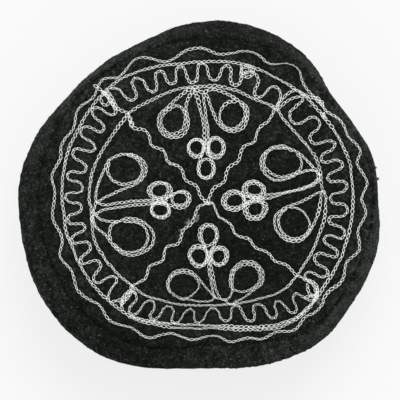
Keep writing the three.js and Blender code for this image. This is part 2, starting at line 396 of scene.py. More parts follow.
DIAGONALS = [
    [
        (128, 113), (129.2, 118.3), (130.2, 122.8), (132, 127), (136.3, 128.7), (142, 129.2),
        (146.3, 131.2), (148.7, 134), (149.5, 137), (149.5, 141), (150.5, 145), (154, 147), (162, 149),
        (164.5, 152), (166, 156), (166.5, 160), (168.5, 163), (172, 164), (180, 166.5), (182.5, 170),
        (183, 174), (184, 178), (187, 181), (194, 184.5), (197, 187), (199.5, 194), (201, 198),
        (207, 202),
    ],
    [
        (274, 109), (270.5, 118), (268, 121.5), (260.5, 126), (258, 129), (256.5, 133), (255.5, 137),
        (254.5, 141), (251, 143.5), (247, 144), (243.5, 146), (241, 149.5), (239.5, 157.5),
        (238.5, 161), (235.5, 163.5), (231.5, 165), (228, 167.5), (226, 171), (225, 179), (223, 183),
        (219.5, 184.5), (215.5, 186), (212, 189), (210.5, 193), (208, 202),
    ],
    [
        (208, 203), (204, 204), (200, 205.5), (197, 207.5), (196, 211), (195, 215), (193.7, 219),
        (191.7, 223), (187.5, 226), (184, 228.3), (182.3, 231.5), (179.5, 242), (176, 244.5),
        (168, 245.7), (165, 248), (164, 252), (164, 256), (163, 259.5), (160, 262), (152, 264.3),
        (149, 266), (147.5, 270), (147, 274), (145.5, 278), (142, 280.5), (131.5, 285),
    ],
    [
        (208, 202), (212.5, 203), (214.5, 207), (217.5, 215), (220.5, 218), (228, 222), (231, 225),
        (233.5, 232), (236.5, 235), (240, 236.5), (248, 238), (250.5, 241), (255, 247.5), (258.5, 249),
        (266.5, 251.5), (269.5, 254), (273.5, 260.5), (277, 262), (285, 264), (288.5, 266.5),
        (296, 275.7),
    ],
]
LEFT_FLOWER = [
    [
        (91.7, 220), (92.6, 215), (95.3, 205), (95.5, 195), (99, 181), (103.5, 171), (108.5, 161),
        (116, 155.8), (126, 153.7), (136, 156), (143.5, 161.5), (145.8, 170.5), (141.7, 179),
        (133, 184.8), (118.7, 191), (108, 195.7), (102, 198.4), (97, 202.3),
    ],
    [
        (110, 162.8), (107.5, 168.5), (108.2, 173.8), (110.8, 178.2), (114.7, 181.3), (119, 183.4),
        (124, 184.3), (129, 183.6), (133.5, 182), (137.6, 179.5), (140.5, 176), (142, 172),
        (142.2, 168), (141, 164), (138.5, 160.2), (135.2, 157.4), (131, 156), (127, 154.5),
    ],
    [
        (96, 202), (104, 205), (113, 203.7), (127, 201.8), (141, 200.3), (152, 200.2), (160, 201),
        (167, 200.5),
    ],
    [(95, 214.5), (102, 210), (113, 208), (130, 205.5), (147, 204), (156, 202.8), (165, 202.5)],
    [
        (94, 212), (100, 219.2), (109, 221), (119, 221), (129, 218), (139, 220), (148, 225.5),
        (153.5, 234), (152.5, 244), (146, 250.5), (136, 254.5), (126, 254.5), (117, 249.5),
        (108, 237.5), (100, 230.5), (95.5, 226.5), (92.3, 217),
    ],
    [(119, 221.2), (115, 222.4), (111.6, 225.6), (109.3, 230), (109.4, 235), (110.6, 239.5)],
    [
        (163.5, 201.5), (167.3, 203.8), (170.7, 205.6), (175, 207), (180.5, 207.9), (186, 206),
        (190, 201.5), (190.2, 197), (188.4, 193.6), (184.5, 190.8), (180, 190.9), (175.8, 192.7),
        (172, 194.3), (168, 196.8), (162.5, 199),
    ],
    [
        (124, 221.3), (130, 221.5), (135, 221.8), (139.6, 223.4), (143.7, 226), (146.4, 230),
        (148, 235.5), (147.5, 240.8), (145, 246), (141, 249.2), (135.5, 251.3), (130, 252),
        (124.5, 251.6), (119.3, 248.6), (114.2, 244),
    ],
]
TOP_FLOWER = [
    [
        (191, 88.5), (187.5, 90.3), (183.5, 93), (179, 96.3), (174, 101), (166, 108), (160, 113),
        (157.5, 121), (161.5, 132), (169, 137), (179, 136.5), (186.5, 130), (187.7, 120), (185.8, 110),
        (185.5, 104), (186.2, 100), (188.2, 96), (191.3, 92.3), (194, 89.5),
    ],
    [
        (171, 107.5), (162, 115.7), (161, 125), (166.3, 132.3), (174.5, 134), (182, 130), (185, 121),
        (184.6, 113), (182.7, 108.8), (179, 106), (174, 106), (171, 107.5),
    ],
    [
        (203.8, 93), (205, 91), (207.7, 89.8), (211.5, 89), (218, 90), (226, 93), (236, 99),
        (246.5, 107), (248, 117), (243.5, 126.8), (238, 129.8), (231, 131.4), (224.7, 129.4),
        (220.3, 126), (217.4, 122), (215, 117.5), (213.3, 113), (211.2, 107.5), (209.3, 102),
        (207.3, 97), (205, 93),
    ],
    [
        (236.5, 101.3), (231.3, 101), (226, 103.3), (221.7, 108), (219.2, 114.5), (220.5, 121.3),
        (225, 126.5), (231.5, 128.6), (237, 126.8), (241.3, 123), (244.2, 117.7), (245, 111.7),
        (243.4, 107), (240, 103.6),
    ],
    [
        (194, 90), (195.5, 94.5), (198.5, 102), (200.1, 110), (202.2, 119.5), (204, 131), (204, 139),
        (203.6, 148), (202.3, 153.5), (200, 159.2), (198.3, 163.5), (198, 169), (198.7, 173.6),
        (200.8, 176.5), (204.6, 178.2), (208.6, 177.8), (212, 175.5), (214.2, 171), (214, 166),
        (212, 161), (209.8, 156), (208.3, 150.5), (207.5, 143), (208, 136), (207.8, 128), (206, 119.3),
        (204.8, 108), (203.6, 98.3), (204, 93.2),
    ],
    [(206, 139), (205.7, 145), (206.5, 150), (208.5, 156)],
    [(194, 89.3), (197.5, 90), (200.3, 91.2), (203.5, 93)],
]
RIGHT_FLOWER = [
    [
        (319, 175), (313.5, 167.3), (307.3, 160.4), (300, 154), (291, 148.5), (281.5, 145.3),
        (275.5, 145.9), (270, 148.3), (264.7, 152), (261.2, 157), (260.2, 162.5), (261.6, 168.5),
        (265, 173.2), (269.7, 177.5), (275, 179.6), (281, 180), (287, 178.6), (296.5, 173.8),
        (304, 170.9), (310.4, 170), (315, 170.5), (319, 174.5),
    ],
    [
        (296.5, 153.6), (300, 156.5), (301.7, 161), (301.4, 166.5), (299, 170.7), (293, 173.7),
        (287, 175.8), (281.5, 176.5), (276.5, 175.7), (271.5, 173.7), (267, 170.5), (264.7, 167),
        (263.7, 162.5), (263.9, 157.5), (266.3, 153), (270.8, 149.5), (276, 147.8), (281.5, 147.8),
        (287.5, 148.8), (292.5, 151),
    ],
    [
        (319, 174), (317.3, 179), (313, 183.2), (303, 187.6), (290, 190.9), (282, 192.6), (275, 193.8),
        (264, 195),
    ],
    [
        (319, 179), (314, 184), (303, 188.3), (290, 191.7), (283, 193.7), (277, 195.9), (270, 197.7),
        (263, 198.8),
    ],
    [(264, 197.5), (257, 197.5), (250, 196.5), (244, 193.5)],
    [(262, 199.8), (255, 199.8), (249, 202), (245, 206)],
    [
        (325, 193), (321.7, 190.8), (316, 193.3), (310.7, 196.6), (301.3, 201.3), (291.3, 204.8),
        (281.3, 209.5), (276.7, 213), (274.3, 218), (274, 223), (275.3, 228), (280, 234.7),
        (284, 238.5), (288.3, 241), (293, 241.6), (301.3, 239.6), (305.6, 237), (309, 232.7),
        (311.6, 227.5), (316, 217.7), (318.7, 209.7), (320.2, 199.7), (321, 193),
    ],
    [
        (290, 207.5), (294, 207.3), (298.7, 208.5), (302.7, 211), (305.6, 214.5), (308, 219),
        (309.8, 223), (309.5, 227.5), (307.8, 231.7), (304.8, 235), (300.7, 237.7), (296.7, 238.8),
        (292.7, 239), (288.7, 238), (285.2, 236), (282, 232.5), (279.7, 228.7), (278.4, 223.7),
        (278.2, 218.3), (280, 214.4), (283, 211.2), (286.7, 208.8),
    ],
]
BOTTOM_FLOWER = [
    [
        (199, 284), (196.5, 278.5), (191, 274), (184, 272.3), (176.5, 273.5), (171, 277.7),
        (168.5, 283), (168.5, 288), (172, 294), (179, 297.6), (187, 297.5), (193.5, 293.3),
        (198, 288.5), (199, 284),
    ],
    [
        (170, 292), (166.7, 287), (166.8, 282.5), (169.3, 276.7), (175, 271.7), (183.5, 269.7),
        (189.5, 271), (194.5, 274.5), (200.5, 281.3), (203.4, 284.5), (207, 288.7), (210, 291.7),
        (213, 295.3), (217.5, 298.5), (222, 299), (225.5, 300.5), (228, 303.3), (233, 304),
    ],
    [(178, 298), (188, 299.4), (196, 300.7), (204, 301.2), (210, 300.7), (213.5, 299), (215, 296.5)],
    [
        (231.5, 288), (229.9, 285), (229.5, 280), (231, 273), (234.5, 266.7), (239.5, 262.5),
        (247, 260.8), (255, 262.5), (260.5, 268), (263.3, 276), (261.3, 284), (254.5, 289),
        (247, 294.7), (240, 299.3), (235.5, 301.8), (232, 303.8),
    ],
    [
        (232.3, 289), (232.2, 281), (233.2, 273.5), (237, 268), (244, 264.2), (252, 264), (258, 269),
        (260.2, 276), (257.3, 284), (251, 289), (243, 291.7), (236, 290.8), (232.3, 289),
    ],
    [(232.3, 289.3), (231.5, 293), (229.5, 297.3), (226, 299.8), (222, 299)],
    [
        (215, 297.5), (213.6, 294), (212.4, 289), (211.2, 284), (210.4, 279), (209.4, 274),
        (208.8, 269), (208, 264), (207.6, 258), (207, 252), (206, 249), (203.3, 244.8), (201, 240.3),
        (198.9, 235.5), (199, 231), (201.5, 226.3), (206.3, 224), (211.2, 224), (215.9, 228),
        (217.2, 232.5), (217.2, 238), (215.3, 243.3), (212.5, 247.5), (210.4, 252), (210, 258),
        (210.4, 263), (211.2, 267.5), (213.1, 277), (215.5, 287), (218.3, 295.5), (220, 298),
    ],
    [(208.8, 251), (208.7, 257), (209.2, 263)],
]

# Leaves of the flowers, each of one or two loops of chain, one inside the other.
LEFT_LEAVES = [
    [
        (160, 183.6), (164, 184), (166.7, 186.3), (167.5, 190.5), (165.7, 194.6), (160.4, 196.9),
        (154.7, 196.4), (151.8, 193.5), (151.3, 190), (152.5, 186.6), (156, 184),
    ],
    [
        (158, 182.2), (163, 182.3), (167.3, 183.9), (170.3, 187.3), (171, 191.5), (168.8, 196),
        (164, 198.2), (157, 198.6), (151.6, 196.3), (148.9, 192.8), (148.3, 189.3), (150.3, 185.8),
        (153.8, 183.5),
    ],
    [
        (180, 192.2), (184.5, 193.2), (187, 196.4), (186.7, 200.7), (183.2, 204), (178.2, 204.8),
        (174.6, 204), (172.8, 202.8), (171.9, 199.6), (172.5, 196), (175.6, 193.3),
    ],
    [
        (152.3, 206.5), (151.9, 210.3), (153.6, 213.6), (157.8, 215.7), (162, 216), (166, 214.8),
        (168, 211.3), (167.7, 207.5), (165.5, 205), (160, 204), (155, 204.2),
    ],
    [
        (151.6, 207), (151.2, 211), (153.2, 214.6), (157.5, 216.8), (162, 217.2), (166.7, 215.8),
        (169, 211.7), (168.9, 207.5), (166.5, 204.3), (160.5, 202.7), (154.5, 203.4),
    ],
]
TOP_LEAVES = [
    [
        (188.8, 146.8), (191, 141.7), (195.8, 139.6), (200, 139.8), (201.6, 142.8), (203, 147),
        (201.7, 152), (196.3, 154.6), (191, 152.3),
    ],
    [
        (188.4, 148.6), (190.3, 142.3), (195, 139.7), (200.5, 141), (203.5, 146.4), (202.7, 152),
        (199.4, 156), (194.6, 157.2), (190, 153.7),
    ],
    [
        (214, 138.8), (218.5, 140.2), (221.9, 143.8), (222.6, 148.5), (220.5, 153), (216.4, 155),
        (212, 153.8), (209.2, 149.5), (209.2, 144.5), (211.2, 140.7),
    ],
    [
        (215, 137.2), (219.6, 138.6), (222.6, 142), (224, 147), (223.2, 152), (220.3, 156),
        (215.6, 158), (211.6, 156.8), (208.8, 152), (208.6, 146), (210.5, 140.5),
    ],
    [
        (206, 158.7), (202.2, 161), (199.5, 165.3), (199, 170.6), (200.6, 175), (204.5, 177),
        (208.8, 176.3), (211.7, 173), (212.1, 168), (211.3, 163.5), (209.2, 160),
    ],
]
RIGHT_LEAVES = [
    [
        (251.5, 183.3), (257.3, 184), (260.6, 186.3), (261.9, 189), (261.2, 193), (258.3, 195.4),
        (254.5, 195.2), (250, 194.5), (247, 192.7), (245.8, 189), (247.5, 185.5),
    ],
    [
        (246, 183.3), (249.7, 181.5), (253.5, 181.1), (258, 182), (262, 185), (264, 188.6),
        (263.7, 193), (260.5, 196.7), (254.5, 197), (248.5, 196.3), (243.8, 194.5), (242.9, 191),
        (243.3, 187.3),
    ],
    [
        (238.6, 194), (233.5, 193.3), (229.5, 194.6), (226.3, 198.2), (225.2, 202), (227.2, 205.2),
        (231, 207), (235.3, 207), (240.5, 205.2), (243.3, 202.3), (243, 198.7), (241, 195.7),
    ],
    [
        (238.5, 191.9), (233.5, 190.9), (227.4, 192.6), (223.5, 196.3), (222, 200.7), (224, 205.6),
        (227.5, 209), (232, 210), (236.7, 209.3), (240.7, 207.4), (244.3, 204.5), (244.7, 200.6),
        (243, 197), (241.2, 193.8),
    ],
    [
        (257, 201.7), (262, 203.8), (263, 207.8), (262, 212), (259, 215), (255, 216.2), (250.5, 216),
        (247.8, 212.7), (246.9, 207.7), (249, 204), (253, 202.2),
    ],
    [
        (259, 200.2), (264.2, 203.1), (266.3, 207), (265.8, 211.5), (263.5, 215), (260.8, 217.3),
        (257, 219), (252, 219), (247.5, 217), (245, 213), (244.3, 208.5), (246, 203.8), (252, 200.6),
    ],
]
BOTTOM_LEAVES = [
    [
        (213, 242), (215.5, 238), (215.8, 233), (213.2, 228.3), (208.8, 226.2), (204.2, 227.5),
        (202, 231), (201.2, 235.5), (202.2, 239.8), (203.2, 244.3), (206.3, 244.9), (209.8, 244.5),
    ],
    [
        (199.5, 248), (194.8, 248.7), (191.7, 251.4), (190.6, 256), (192.7, 260.8), (196.5, 264),
        (200.5, 264.8), (203.6, 262.7), (205.8, 258), (205.8, 252.3), (203.5, 249),
    ],
    [
        (199.8, 245.6), (195, 246), (190.8, 248.6), (189, 252.5), (189.1, 257), (191.4, 261.5),
        (195, 265), (200, 266.3), (204.3, 264.3), (206.8, 260), (207, 254), (206, 249.5),
        (203.3, 246.5),
    ],
    [
        (218.7, 249), (223, 250.4), (225.2, 254.5), (224.8, 259), (221.6, 262.7), (217.5, 263.7),
        (213.6, 261), (211.9, 256), (212.5, 252), (215, 249.8),
    ],
    [
        (217, 247), (222, 247), (226.5, 250.2), (227.2, 255), (225.9, 259.8), (222.5, 263.8),
        (218, 265), (213.3, 262.7), (210.9, 257.5), (211.3, 251.8), (213.5, 248),
    ],
]

# Places where the links are drawn tight or lie open: x, y, reach, how much narrower they are.
TIGHT_PLACES = [
    (132, 61, 12, 0.35),
    (244, 51, 14, 0.3),
    (286, 64, 18, 0.75),
    (317, 104, 10, -0.3),
    (332, 113.5, 13, -0.35),
    (326, 296, 8, -0.35),
    (334, 284, 16, -0.45),
    (348, 233, 12, -0.25),
    (353, 203, 10, -0.25),
    (63, 162, 10, -0.3),
    (60, 243, 13, -0.3),
    (130, 327, 10, 0.25),
    (174, 322, 13, -0.3),
    (215, 329, 13, 0.3),
    (237, 318, 17, -0.3),
    (133, 80, 8, 0.2),
    (239, 78, 8, -0.2),
    (305, 275, 8, 0.35),
    (281, 304, 9, 0.25),
    (331, 173, 8, 0.2),
    (335, 193, 8, 0.2),
    (78, 187, 12, 0.2),
    (120, 123, 12, -0.35),
    (132, 121, 7, -0.25),
    (222, 91, 14, -0.3),
    (323, 211, 11, -0.3),
    (276, 291, 13, 0.4),
    (256, 298, 12, 0.3),
    (230, 303, 14, 0.4),
    (190, 303.5, 30, 0.52),
    (152, 296, 14, 0.25),
    (137, 184, 9, 0.25),
    (146, 227, 7, 0.2),
    (130, 253, 13, 0.3),
    (150, 186, 6, 0.2),
    (156, 214, 7, 0.2),
    (196, 91, 12, -0.45),
    (204, 133, 8, -0.2),
    (232, 102, 9, -0.2),
    (242, 119, 9, -0.25),
    (163, 117, 9, 0.3),
    (275, 149, 12, 0.35),
    (300, 150, 10, 0.25),
    (299, 163, 8, 0.2),
    (287, 191, 20, 0.3),
    (320, 197, 7, 0.25),
    (304, 213, 9, 0.35),
    (280, 217, 8, 0.2),
    (195, 290, 9, 0.2),
    (256, 282, 9, 0.2),
    (245, 296, 9, 0.3),
    (191, 252, 6, 0.3),
    (208, 256, 5, 0.25),
]

# Places where the thread was started, ended or sewn over, one layer on another.
KNOTS = [
    [(93.8, 84.5), (96.5, 86.2), (99.5, 88.8), (102.5, 91.8), (105, 93.5)],
    [(103, 91.5), (107, 95.5), (110, 101), (112.5, 105.5), (115.7, 109.5)],
    [(107, 91.5), (110.3, 95.5), (112.8, 100), (115.3, 104.5), (117.5, 109), (122, 111), (128, 113.5)],
    [(105, 94.5), (109, 98), (111.5, 102), (114, 106), (116.7, 109.7)],
    [(101, 98.5), (101, 102.5), (103.5, 105), (107.3, 105.4), (109, 102)],
    [(102.5, 95), (105.5, 92.5), (107.5, 89.5)],
    [(103.5, 91), (105, 95), (108.5, 96.5)],
    [(276.5, 106.5), (280.5, 100.5), (287, 93.7), (294, 90), (299.5, 91), (304, 95)],
    [(278, 108.7), (283.3, 104.2), (287, 100.7), (291.5, 98.2), (296, 96.8), (304, 96)],
    [(304, 94.5), (308, 96), (312, 98.3)],
    [(311.5, 95.5), (316.3, 99.5), (320.7, 103.3), (323, 106.5)],
    [(316.5, 97.2), (320, 100.2), (323, 103)],
    [(271, 106.5), (274.5, 108.3), (277.5, 110.7)],
    [(321, 112.5), (323, 116), (325, 118.5)],
    [(324.5, 113), (322.5, 118)],
    [(296.5, 275.7), (301.5, 277), (307.5, 278.7), (313, 281.5), (317, 285.5), (318, 290), (317, 296)],
    [(303, 279), (308.5, 281.5), (313, 284.3), (315, 288.5), (315.8, 293), (314.5, 298.5), (312, 302)],
    [(307.7, 283.5), (307, 288), (308.3, 292.5), (311.5, 295.7), (315, 297)],
    [(316.5, 288), (317, 293), (316, 298), (313, 301.5)],
    [(318, 292), (316.5, 296.5), (314.5, 300)],
    [(304, 298), (308, 296.8), (313.5, 294.5)],
    [(131, 285.5), (130.7, 289.5), (125.3, 293.7), (121.8, 298.5), (121, 304), (122.5, 310)],
    [(131.5, 291), (128.5, 296), (125, 300.7), (121.5, 304)],
    [(131, 290.5), (126.5, 295.3), (123, 300.5), (121, 305)],
    [(132.7, 286.5), (133, 291.5), (136, 293.5)],
    [(110.5, 302), (114.5, 301), (121.5, 299)],
    [
        (241, 64), (241, 70), (243, 75.5), (248, 77), (252.5, 73.5), (253, 68.5), (249, 64.8),
        (244, 65.5),
    ],
    [(243.5, 68), (247, 66.5), (250.5, 69), (249, 73), (245, 73)],
    [(241.5, 73.5), (246.5, 71)],
    [(204, 201), (208, 204), (212, 202.5)],
    [(129.3, 116), (130.6, 121), (132.3, 126)],
]


class Around:
    """Reads the columns of a table at any bearing, along smooth curves that close on themselves."""

    def __init__(self, rows):
        table = np.array(rows, float)
        self.bearings = np.append(table[:, 0], 360)
        self.values = np.vstack([table[:, 1:], table[:1, 1:]])
        before, after = table[-1:, 0] - 360, table[1:2, 0] + 360
        spread = np.concatenate([before, self.bearings, after])
        column = np.vstack([table[-1:, 1:], self.values, table[1:2, 1:]])
        self.slopes = (column[2:] - column[:-2]) / (spread[2:] - spread[:-2])[:, None]

    def at(self, bearing):
        wrapped = np.mod(bearing, 360)
        row = np.clip(np.searchsorted(self.bearings, wrapped, "right") - 1, 0, len(self.bearings) - 2)
        span = self.bearings[row + 1] - self.bearings[row]
        t = ((wrapped - self.bearings[row]) / span)[..., None]
        span = span[..., None]
        found = (
            (1 + 2 * t) * (1 - t) ** 2 * self.values[row]
            + t * (1 - t) ** 2 * span * self.slopes[row]
            + t * t * (3 - 2 * t) * self.values[row + 1]
            + t * t * (t - 1) * span * self.slopes[row + 1]
        )
        return np.moveaxis(found, -1, 0)


rim = Around(RIM)
roll = Around(ROLL)
wear_and_light = Around(WEAR_AND_LIGHT)


def smooth_step(value):
    """A share from nought to one that starts and ends gently."""
    value = np.clip(value, 0, 1)
    return value * value * (3 - 2 * value)


class Lumps:
    """Soft random bumps over a plane, from -1 to 1, with a given size of bump."""

    SIDE = 64

    def __init__(self, size):
        self.size = size
        self.heights = chance.uniform(-1, 1, (self.SIDE, self.SIDE))

    def at(self, x, y):
        x, y = np.asarray(x) / self.size, np.asarray(y) / self.size
        column, row = np.floor(x).astype(int), np.floor(y).astype(int)
        u, v = smooth_step(x - column), smooth_step(y - row)
        corner = lambda i, j: self.heights[(column + i) % self.SIDE, (row + j) % self.SIDE]
        near = corner(0, 0) * (1 - u) + corner(1, 0) * u
        far = corner(0, 1) * (1 - u) + corner(1, 1) * u
        return near * (1 - v) + far * v


dents = Lumps(DENT_SIZE)
nap = Lumps(NAP_SIZE)
ravels = Lumps(RAVEL_SIZE)


def fading(distance, reach, sharpness=2):
    """A share that falls from one to nought as a distance passes its reach."""
    return np.exp(-((distance / reach) ** sharpness))


def felt_relief(x, y):
    """Height of the dents and the nap of the felt."""
    return DENT_HEIGHT * dents.at(x, y) + NAP_HEIGHT * nap.at(x, y)


def crown_underside(share, bearing, lift):
    """Height of the crown's underside: a flat pillow, sunk in its middle, with slow waves."""
    pillow = CROWN_RISE * (1 - share**CROWN_FLATNESS) - CROWN_SAG * (1 - share**2) ** 2
    height = SEAM_HEIGHT + lift * share**2 + pillow
    for lobes, crest, rise in CROWN_WAVES:
        wave = np.cos(np.radians(lobes * (bearing - crest)))
        height = height + rise * share**2 * (1 - share**WAVE_FADE) * wave
    return height


def crown_top(x, y):
    """Height of the crown's upper face over a point inside the seam."""
    bearing = np.degrees(np.arctan2(y, x))
    seam, _, lift = rim.at(bearing)
    share = np.minimum(np.hypot(x, y) / seam, 1)
    return crown_underside(share, bearing, lift) + FELT + felt_relief(x, y)


# Lines and stitches

def on_hat(points):
    """Turns points of the chart into millimetres on the hat."""
    return (np.array(points, float) - CHART_MIDDLE) * (CHART_PIXEL, -CHART_PIXEL)


def smooth_line(points, closed):
    """A fine line through a few points, bending evenly however far apart they are."""
    points = np.asarray(points, float)
    if closed:
        points = np.vstack([points[-1:], points, points[:2]])
    else:
        points = np.vstack([2 * points[0] - points[1], points, 2 * points[-1] - points[-2]])
    p0, p1, p2, p3 = points[:-3], points[1:-2], points[2:-1], points[3:]
    gap = lambda a, b: np.sqrt(np.linalg.norm(b - a, axis=1))
    t1 = gap(p0, p1)[:, None, None]
    t2 = t1 + gap(p1, p2)[:, None, None]
    t3 = t2 + gap(p2, p3)[:, None, None]
    t = t1 + (t2 - t1) * np.linspace(0, 1, CURVE_STEPS, endpoint=False)[None, :, None]
    p0, p1, p2, p3 = (p[:, None, :] for p in (p0, p1, p2, p3))
    a1 = ((t1 - t) * p0 + t * p1) / t1
    a2 = ((t2 - t) * p1 + (t - t1) * p2) / (t2 - t1)
    a3 = ((t3 - t) * p2 + (t - t2) * p3) / (t3 - t2)
    b1 = ((t2 - t) * a1 + t * a2) / t2
    b2 = ((t3 - t) * a2 + (t - t1) * a3) / (t3 - t1)
    line = (((t2 - t) * b1 + (t - t1) * b2) / (t2 - t1)).reshape(-1, 2)
    return np.vstack([line, points[-2]])


def lengths(line):
    """How far along a line each of its points is."""
    return np.concatenate([[0], np.cumsum(np.linalg.norm(np.diff(line, axis=0), axis=1))])


def spaced(line, count):
    """A number of points at even distances along a line."""
    along = lengths(line)
    wanted = np.linspace(0, along[-1], count)
    return np.column_stack([np.interp(wanted, along, line[:, k]) for k in (0, 1)])


def evenly(line, step):
    """Points along a line, as near to a step apart as a whole number of steps allows."""
    return spaced(line, max(2, round(lengths(line)[-1] / step)) + 1)


def slow_change(count, reach=5):
    """Random numbers about nought that change little from one to the next."""
    return np.convolve(chance.normal(0, 1, count + reach - 1), np.ones(reach) / math.sqrt(reach), "valid")


def slack_at(places):
    """How open the links lie at each place, as a share of their usual width."""
    slack = np.ones((len(places), 1))
    for x, y, reach, tightness in TIGHT_PLACES:
        away = np.linalg.norm((places - on_hat([(x, y)])) / CHART_PIXEL, axis=-1)
        slack = slack * (1 - tightness * fading(away, reach, TIGHT_SHARPNESS))
    return slack


def chain_links(points, closed=False, width=1, pitch=PITCH, slant=LINK_SLANT, layer=0, swell=0, thread=1):
    """Middle lines of the links of one row of chain stitch, each a small closed loop, and their radii."""
    places = on_hat(points)
    spoke = places - places.mean(axis=0)
    places = places + swell * spoke / np.linalg.norm(spoke, axis=1, keepdims=True)
    nodes = evenly(smooth_line(places, closed), pitch)
    nodes = nodes + chance.normal(0, LINK_STRAY, nodes.shape)
    if closed:
        nodes[-1] = nodes[0]
    start, end = nodes[:-1, None], nodes[1:, None]
    along = end - start
    side = np.stack([-along[..., 1], along[..., 0]], axis=-1)
    side = side / np.linalg.norm(side, axis=-1, keepdims=True)
    count = len(along)
    turn = np.linspace(0, math.tau, LINK_STEPS, endpoint=False)[None, :]
    open_share = 1 + LINK_UNEVEN * slow_change(count) + chance.normal(0, LINK_UNEVEN, count)
    open_share = np.clip(open_share, *LINK_OPEN)
    slack = slack_at(start)
    half_width = LINK_WIDTH / 2 * width * open_share[:, None] * slack
    radius = thread * THREAD / 2 * slack**TIGHT_THINNING
    lean = slant + SLANT_STRAY * slow_change(count) + chance.normal(0, SLANT_STRAY, count)
    lean = np.tan(np.radians(lean))[:, None]
    forward = 0.5 + LINK_OVERLAP / 2 * np.cos(turn)
    across = half_width * np.sin(turn) * np.abs(np.sin(turn)) ** LINK_POINT
    across = across * (1 + LINK_TEAR * np.cos(turn))
    across = across + lean * pitch * (forward - 0.5)
    plan = start + along * forward[..., None] + side * across[..., None]
    rise = THREAD * (LINK_RISE - LINK_DIP * np.cos(turn)) + LAYER * layer
    rise = rise + RISE_STRAY * THREAD * chance.normal(0, 1, (count, 1))
    height = crown_top(plan[..., 0], plan[..., 1]) - PRESS_DEPTH + rise
    return np.concatenate([plan, height[..., None]], axis=-1), np.broadcast_to(radius, height.shape)


# Meshes

def rings_along(lines, radii, sides, closed):
    """Rings of points round lines that each have the same number of points."""
    if closed:
        ahead = np.roll(lines, -1, axis=1) - np.roll(lines, 1, axis=1)
    else:
        ahead = np.gradient(lines, axis=1)
    ahead = ahead / np.linalg.norm(ahead, axis=-1, keepdims=True)
    flat = np.cross(ahead, (0, 0, 1))
    flat = flat / np.maximum(np.linalg.norm(flat, axis=-1, keepdims=True), 1e-6)
    up = np.cross(flat, ahead)
    angle = np.linspace(0, math.tau, sides, endpoint=False)
    ring = flat[..., None, :] * np.cos(angle)[:, None] + up[..., None, :] * np.sin(angle)[:, None]
    return lines[..., None, :] + ring * radii[..., None, None]


def loop_mesh(lines, radii, sides):
    """Closed loops of thread, with a map that runs along each loop and round it."""
    count, steps = lines.shape[:2]
    places = rings_along(lines, radii, sides, True).reshape(-1, 3)
    i, j = np.meshgrid(np.arange(steps), np.arange(sides), indexing="ij")
    i, j = i.ravel(), j.ravel()
    corner = lambda a, b: (a % steps) * sides + b % sides
    ends = ((i, j), (i, j + 1), (i + 1, j + 1), (i + 1, j))
    faces = np.stack([corner(a, b) for a, b in ends], axis=1)
    uv = np.stack([np.stack([a / steps, b / sides], axis=1) for a, b in ends], axis=1)
    first = np.arange(count)[:, None, None] * steps * sides
    faces = (faces[None] + first).reshape(-1, 4)
    return places, faces, np.tile(uv.reshape(-1, 2), (count, 1))


def strand_mesh(lines, radius, sides):
    """Loose strands that taper to a point at both ends. Radius is one number for each strand."""
    count, steps = lines.shape[:2]
    middle = steps - 2
    taper = np.sin(np.linspace(0, math.pi, steps)) ** HAIR_TAPER
    radii = np.asarray(radius)[:, None] * taper[None, :]
    rings = rings_along(lines, radii, sides, False)[:, 1:-1].reshape(count, -1, 3)
    places = np.concatenate([lines[:, :1], rings, lines[:, -1:]], axis=1)
    around = np.arange(sides)
    following = (around + 1) % sides
    faces = [np.stack([np.zeros_like(around), 1 + following, 1 + around, 1 + around], axis=1)]
    for k in range(middle - 1):
        low, high = 1 + k * sides, 1 + (k + 1) * sides
        faces.append(np.stack([low + around, low + following, high + following, high + around], axis=1))
    last = 1 + (middle - 1) * sides
    tip = np.full_like(around, 1 + middle * sides)
    faces.append(np.stack([last + around, last + following, tip, tip], axis=1))
    faces = np.vstack(faces)
    first = np.arange(count)[:, None, None] * places.shape[1]
    return places.reshape(-1, 3), (faces[None] + first).reshape(-1, 4)


def scatter(places, faces, count):
    """Points spread evenly over some faces of a cloth, each with the way that its face looks."""
    a, b, c, d = (places[faces[:, k]] for k in range(4))
    facing = np.cross(c - a, d - b)
    area = np.linalg.norm(facing, axis=1)
    chosen = chance.choice(len(faces), count, p=area / area.sum())
    u, v = chance.random((2, count, 1))
    a, b, c, d = (corner[chosen] for corner in (a, b, c, d))
    spots = (a * (1 - u) + b * u) * (1 - v) + (d * (1 - u) + c * u) * v
    return spots, facing[chosen] / area[chosen, None]


def piece(name, places, faces, paint, slot, node=None, uv=None, **marks):
    """One object of the hat from arrays. A face that names its last corner twice is a triangle."""
    mesh = bpy.data.meshes.new(name)
    sides = np.where(faces[:, 2] == faces[:, 3], 3, 4)
    corners = faces.ravel()[(np.arange(4) < sides[:, None]).ravel()]
    mesh.vertices.add(len(places))
    mesh.vertices.foreach_set("co", (np.asarray(places) * MM).astype(np.float32).ravel())
    mesh.loops.add(len(corners))
    mesh.loops.foreach_set("vertex_index", corners.astype(np.int32))
    mesh.polygons.add(len(sides))
    mesh.polygons.foreach_set("loop_start", np.concatenate([[0], np.cumsum(sides)[:-1]]).astype(np.int32))
    mesh.update(calc_edges=True)
    mesh.validate()
    mesh.shade_smooth()
    if uv is not None:
        layer = mesh.uv_layers.new(name="Thread")
        layer.uv.foreach_set("vector", uv.astype(np.float32).ravel())
    for mark, values in marks.items():
        layer = mesh.attributes.new(mark, "FLOAT", "POINT")
        layer.data.foreach_set("value", values.astype(np.float32).ravel())
    mesh.materials.append(paint)
    made = bpy.data.objects.new(name, mesh)
    bpy.context.scene.collection.objects.link(made)
    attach(made, "root")
    if node:
        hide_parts(node)
    return made


# Paints

